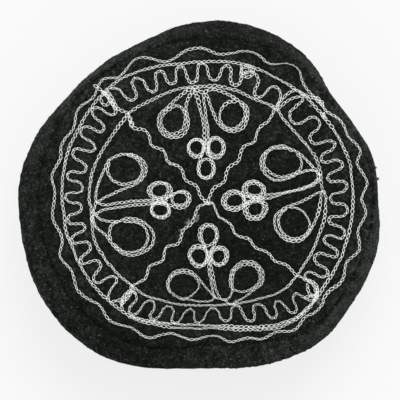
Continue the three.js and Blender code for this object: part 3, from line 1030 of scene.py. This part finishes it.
class Sum:
    """A shader value that takes part in Python sums."""

    def __init__(self, paint, socket):
        self.paint = paint
        self.socket = socket

    def _math(self, operation, *values):
        made = self.paint.node("Math", {"operation": operation}, dict(enumerate(values)))
        return Sum(self.paint, made.outputs[0])

    def __add__(self, other):
        return self._math("ADD", self, other)

    __radd__ = __add__

    def __sub__(self, other):
        return self._math("SUBTRACT", self, other)

    def __rsub__(self, other):
        return self._math("SUBTRACT", other, self)

    def __mul__(self, other):
        return self._math("MULTIPLY", self, other)

    __rmul__ = __mul__

    def __pow__(self, other):
        return self._math("POWER", self, other)

    def sine(self):
        return self._math("SINE", self)


class Paint:
    """A material and the nodes that make its finish."""

    # A Mix node has several sockets of one name, so those for colours are taken by number.
    SHARE, FIRST, SECOND, RESULT = 0, 6, 7, 2

    def __init__(self, name, **constants):
        self.material = bpy.data.materials.new(name)
        self.material.use_nodes = True
        self.tree = self.material.node_tree
        self.shader = self.tree.nodes["Principled BSDF"]
        self.finish(**constants)

    def plug(self, socket, value):
        value = value.socket if isinstance(value, Sum) else value
        if isinstance(value, bpy.types.NodeSocket):
            self.tree.links.new(value, socket)
        else:
            socket.default_value = value

    def node(self, kind, settings, sockets):
        made = self.tree.nodes.new("ShaderNode" + kind)
        for name, value in settings.items():
            setattr(made, name, value)
        for name, value in sockets.items():
            self.plug(made.inputs[name], value)
        return made

    def value(self, kind, settings, sockets, output):
        return Sum(self, self.node(kind, settings, sockets).outputs[output])

    def noise(self, place, scale, detail, distortion=0):
        sockets = {"Vector": place, "Scale": scale, "Detail": detail, "Distortion": distortion}
        return self.value("TexNoise", {}, sockets, "Fac")

    def mark(self, name):
        return self.value("Attribute", {"attribute_name": name}, {}, "Fac")

    def place(self):
        return self.node("TexCoord", {}, {}).outputs["Object"]

    def blend(self, share, first, second):
        sockets = {self.SHARE: share, self.FIRST: first, self.SECOND: second}
        return self.node("Mix", {"data_type": "RGBA"}, sockets).outputs[self.RESULT]

    def finish(self, **sockets):
        for name, value in sockets.items():
            self.plug(self.shader.inputs[name.replace("_", " ")], value)
        return self.material


# The felt: its colours, shares of its noises in the grain, how pale the grain is and what changes that,
# which is wear and painted light, and the painted shade in the seam's groove and round the stitches.
DEEP_BLACK = (0.0009, 0.0019, 0.0007, 1)
PALE_OLIVE = (0.0485, 0.0565, 0.0465, 1)
PALE_PLUM = (0.052, 0.0565, 0.051, 1)
PAINTED_SHADE_BLACK = (0.0008, 0.0009, 0.0008, 1)
CLUMP_SHARE = 0.6
FIBRE_SHARE = 0.8
MOTTLE_SHARE = 0.4
CLOUD_SHARE = 0.2
GRAIN_CONTRAST = 8
GRAIN_TONE = 0.68
FLECK_TONE = 3
EVEN_TONE = 0.09
WORN_AND_LIT_TONE = 0.2
CLOUD_CONTRAST = 3
CLOUD_CUT = 0.5
DYE_CONTRAST = 3
DYE_CUT = 1
PAINTED_SHADE_LEAST = 0.3
PAINTED_SHADE_SPREAD = 0.6

# The hairs: how much of their shade is even, and how much is grain.
HAIR_TONE = 0.6
HAIR_GRAIN = 0.8

# The thread: how much painted shade between its plies and its soiling change its tone, and how far its
# fluff roughens it.
PLY_SHADE_TONE = 0.55
SOIL_TONE = 0.7
SOIL_CUT = 0.15
FLUFF_BUMP = 0.4


def felt_paint(name):
    """Fulled black wool: cloudy and speckled, paler where it is worn and where light is painted on its
    rim and margin, with painted shade in the seam's groove and round the stitches.
    """
    paint = Paint(
        name,
        Sheen_Weight=0.01,
        Sheen_Roughness=0.5,
        Sheen_Tint=(0.9, 0.92, 0.9, 1),
        Specular_IOR_Level=0.05,
    )
    place = paint.place()
    cloud = paint.noise(place, scale=120, detail=3)
    mottle = paint.noise(place, scale=290, detail=2)
    clump = paint.noise(place, scale=620, detail=2)
    fibre = paint.noise(place, scale=1500, detail=3, distortion=1.5)
    dye = paint.noise(place, scale=75, detail=1)
    cell = paint.node("TexVoronoi", {}, {"Vector": place, "Scale": 800}).outputs["Color"]
    fleck = paint.value("SeparateColor", {}, {"Color": cell}, 0) ** FLECK_RARITY
    drawn = paint.mark("drawn")
    worn = paint.mark("worn")
    grain = CLUMP_SHARE * clump + FIBRE_SHARE * fibre + MOTTLE_SHARE * mottle + CLOUD_SHARE * cloud
    speckle = GRAIN_TONE * grain**GRAIN_CONTRAST + FLECK_TONE * fleck
    # Wear and painted light on the rim and margin make the felt paler.
    tone = (EVEN_TONE + WORN_AND_LIT_TONE * worn * (CLOUD_CONTRAST * cloud - CLOUD_CUT)) * speckle
    pale = paint.blend(DYE_CONTRAST * dye - DYE_CUT, PALE_OLIVE, PALE_PLUM)
    colour = paint.blend(tone, DEEP_BLACK, pale)
    # Painted shade in the seam's groove and round the stitches.
    shaded = drawn * (PAINTED_SHADE_LEAST + PAINTED_SHADE_SPREAD * cloud + PAINTED_SHADE_SPREAD * clump)
    colour = paint.blend(shaded, colour, PAINTED_SHADE_BLACK)
    bump = paint.node("Bump", {}, {"Strength": 0.8, "Distance": 0.0007, "Height": fibre + clump})
    return paint.finish(Base_Color=colour, Roughness=0.84 + 0.16 * clump, Normal=bump.outputs["Normal"])


def hair_paint(name, dark, pale):
    """Loose hairs and fibres, each with a shade of its own."""
    paint = Paint(name, Specular_IOR_Level=0.15)
    grain = paint.noise(paint.place(), scale=900, detail=2)
    colour = paint.blend(paint.mark("shade") * (HAIR_TONE + HAIR_GRAIN * grain), dark, pale)
    return paint.finish(Base_Color=colour, Roughness=0.8 + 0.2 * grain)


def thread_paint(name, shade, light):
    """Soft two-ply thread: the twist shows as slanting ridges, with painted shade between the plies."""
    paint = Paint(name, Sheen_Weight=0.25, Sheen_Roughness=0.5, Specular_IOR_Level=0.25)
    place = paint.place()
    map_place = paint.node("UVMap", {"uv_map": "Thread"}, {}).outputs["UV"]
    split = paint.node("SeparateXYZ", {}, {"Vector": map_place})
    along, around = Sum(paint, split.outputs["X"]), Sum(paint, split.outputs["Y"])
    ply = (math.tau * (THREAD_TWISTS * along + around)).sine() * 0.5 + 0.5
    soil = paint.noise(place, scale=160, detail=2)
    fluff = paint.noise(place, scale=4000, detail=2)
    # Painted shade between the plies, mixed with soiling.
    colour = paint.blend(PLY_SHADE_TONE * ply + SOIL_TONE * soil - SOIL_CUT, shade, light)
    ridges = ply + FLUFF_BUMP * fluff
    bump = paint.node("Bump", {}, {"Strength": 0.55, "Distance": 0.0002, "Height": ridges})
    return paint.finish(Base_Color=colour, Roughness=0.75 + 0.2 * fluff, Normal=bump.outputs["Normal"])


def floor_paint():
    """A backlit pale table: most of its light is its own, so shadows on it are faint."""
    glow = {"Emission_Color": (0.99, 0.99, 1, 1), "Emission_Strength": 0.785}
    paint = Paint("pale_floor", Specular_IOR_Level=0.1, **glow)
    grain = paint.noise(paint.place(), scale=30, detail=2)
    colour = paint.blend(grain, (0.146, 0.144, 0.146, 1), (0.15, 0.148, 0.15, 1))
    return paint.finish(Base_Color=colour, Roughness=0.7 + 0.1 * grain)


crown_paint = felt_paint("crown_felt")
side_paint = felt_paint("side_felt")
felt_hair = hair_paint("felt_hair", dark=(0.007, 0.008, 0.007, 1), pale=(0.5, 0.52, 0.49, 1))
thread_fuzz = hair_paint("thread_fuzz", dark=(0.55, 0.57, 0.55, 1), pale=(0.9, 0.91, 0.89, 1))
white_thread = thread_paint("white_thread", shade=(0.885, 0.915, 0.87, 1), light=(0.925, 0.95, 0.91, 1))


# Embroidery

def sewn(name, rows):
    """One piece of embroidery from rows of chain stitch."""
    links, radii = (np.concatenate(part) for part in zip(*[chain_links(**row) for row in rows]))
    places, faces, uv = loop_mesh(links, radii, THREAD_SIDES)
    return piece(name, places, faces, white_thread, "white_thread", uv=uv), links


def flower(lines, leaves, thread=1):
    """Rows of one flower: its open lines, and its leaves on top of them."""
    rows = [{"points": line, "layer": 0.3, "thread": thread} for line in lines]
    for leaf in leaves:
        rows.append({"points": leaf, "closed": True, "pitch": SHORT_PITCH, "layer": 0.6, **LEAF})
    return rows


EMBROIDERY = {
    "wave_stitches": [{"points": WAVE, "closed": True, "width": 0.86, "slant": 0, "thread": 0.92}],
    "outer_ring_stitches": [
        {"points": OUTER_RING, "closed": True, "pitch": RING_PITCH, "slant": RING_SLANT, "thread": 1.05},
        {"points": SECOND_RING, "layer": 0.3, "thread": 0.9},
    ],
    "meander_stitches": [
        {"points": TOP_MEANDER, "width": 0.96, "layer": 0.15},
        {"points": CORNER_MEANDER, "width": 0.93, "layer": 0.15},
        {"points": RIGHT_MEANDER, "width": 0.95, "thread": 0.92, "layer": 0.15},
        {"points": BOTTOM_MEANDER, "width": 0.86, "thread": 0.78, "layer": 0.15},
        {"points": LEFT_MEANDER, "width": 0.86, "thread": 0.95, "layer": 0.15},
    ],
    "inner_ring_stitches": [
        {"points": INNER_RING, "closed": True, "width": 0.97, "pitch": RING_PITCH, "slant": RING_SLANT},
    ],
    "diagonal_stitches": [
        {"points": line, "width": width, "layer": 0.2} for line, width in zip(DIAGONALS, DIAGONAL_WIDTHS)
    ],
    "left_flower_stitches": flower(LEFT_FLOWER, LEFT_LEAVES),
    "top_flower_stitches": flower(TOP_FLOWER, TOP_LEAVES),
    "right_flower_stitches": flower(RIGHT_FLOWER, RIGHT_LEAVES),
    "bottom_flower_stitches": flower(BOTTOM_FLOWER, BOTTOM_LEAVES, thread=0.84),
    "knot_stitches": [
        {"points": line, "layer": layer} for line, layer in zip(KNOTS, itertools.cycle(KNOT_LAYERS))
    ],
}
stitched = [sewn(name, rows) for name, rows in EMBROIDERY.items()]
stitch_places = np.concatenate([links.mean(axis=1) for _, links in stitched])
stitch_tree = kdtree.KDTree(len(stitch_places))
for index, (x, y, _) in enumerate(stitch_places):
    stitch_tree.insert((x, y, 0), index)
stitch_tree.balance()


# Cloths

MARGIN_STATIONS = np.linspace(0, MARGIN - FELT / 2, MARGIN_RINGS + 1)
FAR_STATIONS = MARGIN_STATIONS[MARGIN_STATIONS > NEAR_SEAM[-1] + STATION_GAP]
FINE_STATIONS = np.concatenate([[0], NEAR_SEAM, FAR_STATIONS])
EDGE_TURNS = np.radians(np.linspace(90, -90, EDGE_STEPS + 1)[1:-1])


def margin_path(bearing, droop, along=MARGIN_STATIONS):
    """Underside of the margin from the seam outwards: radius, height and lean at each station."""
    seam, _, lift = rim.at(bearing)
    lean = np.radians(droop)[:, None] * np.minimum(1, along / MARGIN_TURN)[None, :]
    step = np.diff(along)[None, :]
    between = (lean[:, 1:] + lean[:, :-1]) / 2
    start = np.zeros((len(bearing), 1))
    radius = seam[:, None] + np.hstack([start, np.cumsum(step * np.cos(between), axis=1)])
    base = crown_underside(1.0, bearing, lift)[:, None]
    height = base - np.hstack([start, np.cumsum(step * np.sin(between), axis=1)])
    return radius, height, lean


def margin_reach(radius, lean):
    """How far out the margin comes, at its upper face or its cut edge."""
    top = (radius + FELT * np.sin(lean)).max(axis=1)
    edge = radius[:, -1] + FELT / 2 * (np.sin(lean[:, -1]) + 1)
    return np.maximum(top, edge)


def margin_droop(bearing):
    """The droop at which the margin reaches as far out as the rim table says."""
    _, reach, _ = rim.at(bearing)
    flat = np.zeros_like(bearing)
    steep = np.full_like(bearing, float(STEEPEST_DROOP))
    for _ in range(DROOP_HALVINGS):
        droop = (flat + steep) / 2
        radius, _, lean = margin_path(bearing, droop)
        far = margin_reach(radius, lean) > reach
        flat = np.where(far, droop, flat)
        steep = np.where(far, steep, droop)
    return (flat + steep) / 2


def lying_margin(bearing, along=MARGIN_STATIONS):
    """The margin's path with its droop kept in bounds, and drawn out or in a little to reach as far."""
    droop = np.clip(margin_droop(bearing), LEAST_DROOP, MOST_DROOP)
    radius, height, lean = margin_path(bearing, droop, along)
    spare = rim.at(bearing)[1] - margin_reach(radius, lean)
    return radius + spare[:, None] * smooth_step(along / along[-1]), height, lean


def groove(distance):
    """How deep the seam draws the felt in."""
    return GROOVE_DEPTH * fading(distance, GROOVE_HALF_WIDTH)


def cut_edge(radius, height, lean):
    """The rounded cut edge of the crown, turning from its upper face to its lower one."""
    angle = EDGE_TURNS[None, :] - lean[:, None]
    return radius[:, None] + FELT / 2 * np.cos(angle), height[:, None] + FELT / 2 * np.sin(angle)


def grid_faces(rows, columns, closed):
    """Faces of a grid of rows that each go right round, joined last to first where it is closed."""
    i, j = np.meshgrid(np.arange(rows if closed else rows - 1), np.arange(columns), indexing="ij")
    i, j = i.ravel(), j.ravel()
    corner = lambda a, b: (a % rows) * columns + b % columns
    return np.stack([corner(i, j), corner(i + 1, j), corner(i + 1, j + 1), corner(i, j + 1)], axis=1)


def edge_ravels(arc, times, row):
    """Unevenness along the seam, a number of times as close together as the ravels are wide."""
    return ravels.at(times * arc, 0 * arc + row)


def crown_section(bearing, inside, pucker, frayed):
    """Radius and height of the crown's skin, in rows from the middle of its top to under it."""
    seam, _, lift = rim.at(bearing)
    along = FINE_STATIONS
    radius, height, lean = lying_margin(bearing, along)
    radius = radius + frayed[:, None] * smooth_step(along / along[-1])[None, :]
    inside_z = crown_underside(inside / seam[:, None], bearing[:, None], lift[:, None])
    thick_inside = FELT - pucker * groove(seam[:, None] - inside)
    thick_margin = FELT - pucker * groove(along)[None, :]
    edge_r, edge_z = cut_edge(
        radius[:, -1] + FELT / 2 * np.sin(lean[:, -1]),
        height[:, -1] + FELT / 2 * np.cos(lean[:, -1]),
        lean[:, -1],
    )
    under = np.linspace(1, 0, UNDER_RINGS + 1)[None, :-1]
    under_z = crown_underside(under, bearing[:, None], lift[:, None])
    margin_r, margin_z = radius + thick_margin * np.sin(lean), height + thick_margin * np.cos(lean)
    section_r = np.hstack([inside, margin_r, edge_r, radius[:, :0:-1], under * seam[:, None]])
    section_z = np.hstack([inside_z + thick_inside, margin_z, edge_z, height[:, :0:-1], under_z])
    return section_r.T, section_z.T


def crown_wear_and_light(x, y, share, bearing):
    """How pale the crown's felt is in each row, from wear and painted light: at its rings, along its rim
    and over its margin.
    """
    seam = rim.at(bearing)[0]
    rim_wear_and_light, margin_wear_and_light, _ = wear_and_light.at(bearing)
    along = FINE_STATIONS
    within = len(share)
    upper = within + len(along)
    worn = np.full(x.shape, EVEN_WEAR)
    aslant = (CROWN_SLANT * y[:within] - x[:within]) / seam
    ringed = smooth_step((share - RING_WEAR_START) / RING_WEAR_SPAN)
    worn[:within] = CROWN_WEAR * (1 + aslant * (1 - share**SLANT_FADE)) + RING_WEAR * ringed
    by_rim = smooth_step(1 - (1 - share) * seam / RIM_REACH)
    worn[:within] += by_rim * (rim_wear_and_light - worn[:within])
    past_seam = smooth_step(along / SEAM_BLEND)[:, None]
    by_edge = smooth_step((along - MARGIN + EDGE_REACH) / EDGE_REACH)[:, None]
    worn[within:upper] = rim_wear_and_light + past_seam * (margin_wear_and_light + EDGE_WEAR * by_edge - rim_wear_and_light)
    worn[upper : upper + EDGE_STEPS - 1] = margin_wear_and_light + EDGE_WEAR
    return worn


def make_crown():
    """The crown's cloth, with its faces inside the seam and those of the margin."""
    bearing = np.arange(CROWN_STEPS) * 360 / CROWN_STEPS
    seam = rim.at(bearing)[0]
    arc = np.radians(bearing) * seam
    near_seam = np.array(NEAR_SEAM[::-1])[None, :]
    middle = seam[:, None] - near_seam[:, :1] - RING_GAP
    rings = np.linspace(0, 1, CROWN_RINGS + 1)[None, 1:]
    inside = np.hstack([rings * middle, seam[:, None] - near_seam])
    frayed = EDGE_WAVER * edge_ravels(arc, 1, WAVER_ROW) + EDGE_RAVEL * edge_ravels(arc, 3, RAVEL_ROW)
    pucker = 1 - PUCKER + PUCKER * edge_ravels(arc, 2, PUCKER_ROW)[:, None]
    radius, z = crown_section(bearing, inside, pucker, frayed)
    angle = np.radians(bearing)[None, :]
    x, y = radius * np.cos(angle), radius * np.sin(angle)
    share = (inside / seam[:, None]).T
    rows, within = len(x), len(share)
    upper = within + len(FINE_STATIONS)
    z[:upper] += felt_relief(x[:upper], y[:upper])
    flat_places = np.column_stack([x[:within].ravel(), y[:within].ravel()])
    near = np.array([stitch_tree.find((px, py, 0))[2] for px, py in flat_places])
    pressed = fading(near, PRESS_WIDTH)
    z[:within] -= (PRESS_DEPTH * pressed).reshape(within, -1)
    grid = grid_faces(rows, CROWN_STEPS, False)
    around = np.arange(CROWN_STEPS)
    following = (around + 1) % CROWN_STEPS
    last = (rows - 1) * CROWN_STEPS
    top = np.full_like(around, rows * CROWN_STEPS)
    cap = np.stack([top, around, following, following], axis=1)
    base = np.stack([top + 1, last + following, last + around, last + around], axis=1)
    poles = [[0, 0, z[0].mean()], [0, 0, z[-1].mean()]]
    places = np.vstack([np.stack([x, y, z], axis=-1).reshape(-1, 3), poles])
    from_seam = np.hstack([inside - seam[:, None], np.tile(FINE_STATIONS, (CROWN_STEPS, 1))]).T
    # Painted shade along the seam's groove and round the pressed-in stitches.
    seam_line_shade = SEAM_SHADE * wear_and_light.at(bearing)[2] * (1 + edge_ravels(arc, 1, SHADE_ROW))
    drawn = np.zeros(len(places))
    drawn[: from_seam.size] = (seam_line_shade * fading(from_seam, GROOVE_HALF_WIDTH)).ravel()
    drawn[: near.size] = np.maximum(drawn[: near.size], PRESS_SHADE * pressed)
    # Paleness from wear and painted light along the rim and over the margin.
    worn = np.append(crown_wear_and_light(x, y, share, bearing), [0, EVEN_WEAR])
    faces = np.vstack([grid, cap, base])
    made = piece("crown_cloth", places, faces, crown_paint, "black_felt", "crown", drawn=drawn, worn=worn)
    flat_faces = grid[: (within - 1) * CROWN_STEPS]
    edge_faces = grid[within * CROWN_STEPS : (upper + EDGE_STEPS - 2) * CROWN_STEPS]
    return made, places, flat_faces, edge_faces


def rounded(corners):
    """A path of corners, each a point and a bend's radius or None, with the bends drawn as arcs."""
    path = []
    for i, (at, bend) in enumerate(corners):
        if not bend:
            path.append(at)
            continue
        back = (corners[i - 1][0] - at) / np.linalg.norm(corners[i - 1][0] - at)
        ahead = (corners[i + 1][0] - at) / np.linalg.norm(corners[i + 1][0] - at)
        half = math.acos(np.clip(back @ ahead, -1, 1)) / 2
        middle = at + (back + ahead) / np.linalg.norm(back + ahead) * bend / math.sin(half)
        spoke = at + back * bend / math.tan(half) - middle
        sweep = (math.pi - 2 * half) * np.sign(ahead[0] * back[1] - ahead[1] * back[0])
        for share in np.linspace(0, 1, BEND_STEPS + 1):
            c, s = math.cos(sweep * share), math.sin(sweep * share)
            path.append(middle + (c * spoke[0] - s * spoke[1], s * spoke[0] + c * spoke[1]))
    return np.array(path)


def side_path(k, margin, opening):
    """Middle of the side cloth at one bearing, from its cut edge at the margin to its hem."""
    radius, height, lean = (column[k] for column in margin)
    inner, outer, top = (column[k] for column in opening)
    below = SEWN_GAP + FELT / 2
    sewn_r, sewn_z = radius - below * np.sin(lean), height - below * np.cos(lean)
    half, turn = FELT / 2, FELT + TURN_GAP
    corner = lambda r, z, bend=None: (np.array([r, z]), BENDS.get(bend))
    return rounded([
        *[corner(r, z) for r, z in zip(sewn_r[:2:-1], sewn_z[:2:-1])],
        corner(sewn_r[0], sewn_z[0], "seam"),
        corner(inner + half, top + KNEE_LIFT, "knee"),
        corner(inner + half, half, "foot"),
        corner(outer - half, half, "heel"),
        corner(outer - half + BELLY, top / 2, "belly"),
        corner(outer - half, top - half, "shoulder"),
        corner(inner + half + turn, top - half, "shoulder"),
        corner(inner + half + turn, half + turn, "core"),
        corner(outer - half - turn, half + turn, "core"),
        corner(outer - half - turn, top - HEM_DROP),
    ])


def rounded_end(middle, ahead, left):
    """The rounded cut end of the side cloth, from its left face to its right one."""
    ways = [math.cos(turn) * ahead + math.sin(turn) * left for turn in EDGE_TURNS]
    return np.stack([middle + FELT / 2 * way for way in ways], axis=1)


def make_side():
    """The side's cloth, with those of its faces that show on the outside."""
    bearing = np.arange(SIDE_STEPS) * 360 / SIDE_STEPS
    margin = lying_margin(bearing)
    opening = roll.at(bearing)
    middle = np.array([spaced(side_path(k, margin, opening), SIDE_RINGS) for k in range(SIDE_STEPS)])
    ahead = np.gradient(middle, axis=1)
    ahead = ahead / np.linalg.norm(ahead, axis=-1, keepdims=True)
    left = np.stack([-ahead[..., 1], ahead[..., 0]], axis=-1)
    reach = np.linspace(0, 1, SIDE_RINGS)
    free = np.clip((reach - SEWN_SHARE) / FREE_SHARE, 0, 1)[None, :]
    arc = np.radians(bearing)[:, None] * SIDE_RADIUS
    length = reach[None, :] * SIDE_LENGTH
    bumps = (SIDE_DENT_HEIGHT * dents.at(arc, length) + SIDE_NAP_HEIGHT * nap.at(arc, length)) * free
    section = np.concatenate([
        middle + (FELT / 2 + bumps[..., None]) * left,
        rounded_end(middle[:, -1], ahead[:, -1], left[:, -1]),
        (middle - (FELT / 2 - bumps[..., None]) * left)[:, ::-1],
        rounded_end(middle[:, 0], -ahead[:, 0], -left[:, 0]),
    ], axis=1)
    angle = np.radians(bearing)[:, None]
    radius, height = section[..., 0], section[..., 1]
    places = np.stack([radius * np.cos(angle), radius * np.sin(angle), height], axis=-1)
    places = np.swapaxes(places, 0, 1)
    places[..., 2] = np.maximum(places[..., 2], 0)
    faces = grid_faces(len(places), SIDE_STEPS, True)[:, ::-1]
    places = places.reshape(-1, 3)
    first, last = (SIDE_RINGS + EDGE_STEPS - 1 + round(SIDE_RINGS * share) for share in SIDE_SHOWN)
    worn = np.full(len(places), EVEN_WEAR)
    made = piece("side_cloth", places, faces, side_paint, "black_felt", "rolled_side", worn=worn)
    return made, places, faces[first * SIDE_STEPS : last * SIDE_STEPS]


def make_hairs(name, places, faces, count, pale_share):
    """Short hairs that lie on a cloth, with both ends in it."""
    spots, up = scatter(places, faces, count)
    aim = chance.normal(0, 1, (count, 3))
    aim = aim - up * np.sum(aim * up, axis=1, keepdims=True)
    aim = aim / np.linalg.norm(aim, axis=1, keepdims=True)
    pale = chance.random(count) < pale_share
    usual = HAIR_LENGTH * np.where(pale, PALE_LENGTH, 1)[:, None, None]
    length = usual * chance.gamma(HAIR_EVENNESS, 1 / HAIR_EVENNESS, (count, 1, 1))
    along = np.linspace(-0.5, 0.5, HAIR_STEPS)[None, :, None]
    arch = 1 - 4 * along**2
    curl = chance.normal(0, HAIR_CURL, (count, 1, 1))
    lift = chance.uniform(*HAIR_LIFT, (count, 1, 1))
    lines = spots[:, None] + aim[:, None] * length * along
    lines = lines + np.cross(up, aim)[:, None] * curl * length * arch
    lines = lines + up[:, None] * (lift * arch - HAIR_SINK)
    lines[..., 2] = np.maximum(lines[..., 2], HAIR_FLOOR)
    thickness = HAIR_THICKNESS * np.where(pale, PALE_THICKNESS, 1) * chance.uniform(*HAIR_SPREAD, count)
    shade = np.where(pale, chance.beta(*PALE_SHADES, count), chance.gamma(*DARK_SHADES, count))
    hairs, hair_faces = strand_mesh(lines, thickness / 2, HAIR_SIDES)
    shade = np.repeat(shade, len(hairs) // count)
    return piece(name, hairs, hair_faces, felt_hair, "black_felt", shade=shade)


def make_fuzz():
    """Fine fibres that have worked loose from the white thread, some in wisps where a row is frayed."""
    spots = stitch_places[chance.choice(len(stitch_places), FUZZ)][:, :2]
    turn = chance.uniform(0, math.tau, FUZZ)
    reach = FUZZ_LENGTH * chance.gamma(HAIR_EVENNESS, 1 / HAIR_EVENNESS, FUZZ) / 2
    half = np.stack([np.cos(turn), np.sin(turn)], axis=1) * reach[:, None]
    wisps = on_hat(np.array(FRAYED_WISPS).reshape(-1, 2)).reshape(-1, 1, 2, 2)
    wisps = wisps + chance.normal(0, FRAYED_SPREAD, (len(wisps), FRAYED_FIBRES, 2, 2))
    ends = np.concatenate([np.stack([spots - half, spots + half], axis=1), wisps.reshape(-1, 2, 2)])
    count = len(ends)
    along = np.linspace(0, 1, HAIR_STEPS)[None, :, None]
    arch = 4 * along * (1 - along)
    span = (ends[:, 1] - ends[:, 0])[:, None]
    bend = chance.normal(0, HAIR_CURL, (count, 1, 1)) * arch
    plan = ends[:, :1] + span * along + span[..., ::-1] * (-1, 1) * bend
    rise = chance.uniform(*FUZZ_RISE, (count, 1)) * arch[..., 0]
    height = crown_top(plan[..., 0], plan[..., 1]) + rise
    lines = np.concatenate([plan, height[..., None]], axis=-1)
    thickness = np.where(np.arange(count) < FUZZ, FUZZ_THICKNESS, FRAYED_THICKNESS)
    hairs, faces = strand_mesh(lines, thickness / 2, HAIR_SIDES)
    shade = np.repeat(chance.random(count), len(hairs) // count)
    return piece("thread_fuzz", hairs, faces, thread_fuzz, "white_thread", shade=shade)


def make_tuft():
    """Wisps of wool that stick out of the margin's edge."""
    tip = np.repeat(on_hat(TUFT_TIPS), TUFT_HAIRS, axis=0)
    tip = np.column_stack([tip, np.full(len(tip), TUFT_HEIGHT)])
    root = tip - (TUFT_LENGTH, 0, 0)
    strays = chance.normal(0, TUFT_SPREAD, (2, len(tip), 3))
    along = np.linspace(0, 1, HAIR_STEPS)[None, :, None]
    lines = (root + strays[0])[:, None] * (1 - along) + (tip + strays[1])[:, None] * along
    hairs, faces = strand_mesh(lines, np.full(len(tip), HAIR_THICKNESS), HAIR_SIDES)
    shade = np.full(len(hairs), TUFT_SHADE)
    return piece("edge_tuft", hairs, faces, felt_hair, "black_felt", shade=shade)


crown, crown_places, flat_faces, edge_faces = make_crown()
side, side_places, side_faces = make_side()
crown_hairs = make_hairs("crown_hairs", crown_places, flat_faces, CROWN_HAIRS, CROWN_PALE)
margin_hairs = make_hairs("margin_hairs", crown_places, edge_faces, MARGIN_HAIRS, EDGE_PALE)
side_hairs = make_hairs("side_hairs", side_places, side_faces, SIDE_HAIRS, EDGE_PALE)
fuzz = make_fuzz()
tuft = make_tuft()


# Camera, light and floor

PHOTO_SIDE = 288
PHOTO_MIDDLE = (1.08, -4.18, 63)
CAMERA_DISTANCE = 3000
SENSOR = 36
SIGHT = 20000
FLOOR_SIDE = 6000
FLOOR_HEIGHT = -0.5
SKY_COLOUR = (0.97, 0.985, 1, 1)
SKY_STRENGTH = 0.63


def make_camera():
    """A camera straight above, with a lens that fits the photograph's frame at the crown's height."""
    lens = bpy.data.cameras.new("camera")
    lens.sensor_width = SENSOR
    lens.lens = SENSOR * CAMERA_DISTANCE / PHOTO_SIDE
    lens.clip_end = SIGHT * MM
    camera = bpy.data.objects.new("camera", lens)
    x, y, z = PHOTO_MIDDLE
    camera.location = (x * MM, y * MM, (z + CAMERA_DISTANCE) * MM)
    bpy.context.scene.collection.objects.link(camera)
    bpy.context.scene.camera = camera


def make_light(name, energy, spread, turn):
    lamp = bpy.data.lights.new(name, "SUN")
    lamp.energy = energy
    lamp.angle = math.radians(spread)
    holder = bpy.data.objects.new(name, lamp)
    holder.rotation_euler = [math.radians(a) for a in turn]
    bpy.context.scene.collection.objects.link(holder)


def make_floor():
    bpy.ops.object.select_all(action="DESELECT")
    bpy.ops.mesh.primitive_plane_add(size=FLOOR_SIDE * MM, location=(0, 0, FLOOR_HEIGHT * MM))
    floor = bpy.context.object
    floor.name = "floor"
    bpy.ops.object.transform_apply(location=True, rotation=True, scale=True)
    floor.data.materials.append(floor_paint())
    floor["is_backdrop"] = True


def make_world():
    world = bpy.data.worlds.new("studio")
    world.use_nodes = True
    sky = world.node_tree.nodes["Background"]
    sky.inputs["Color"].default_value = SKY_COLOUR
    sky.inputs["Strength"].default_value = SKY_STRENGTH
    bpy.context.scene.world = world
    bpy.context.scene.view_settings.view_transform = "Standard"


make_camera()
make_floor()
make_world()
make_light("key_from_above_right", energy=1.8, spread=40, turn=(0, 45, 80))
make_light("fill_from_above", energy=0.65, spread=90, turn=(-12, 0, 0))

boxes = {"cad": cad_box, "visual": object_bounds()}
{name: [list(corner) for corner in box] for name, box in boxes.items()}
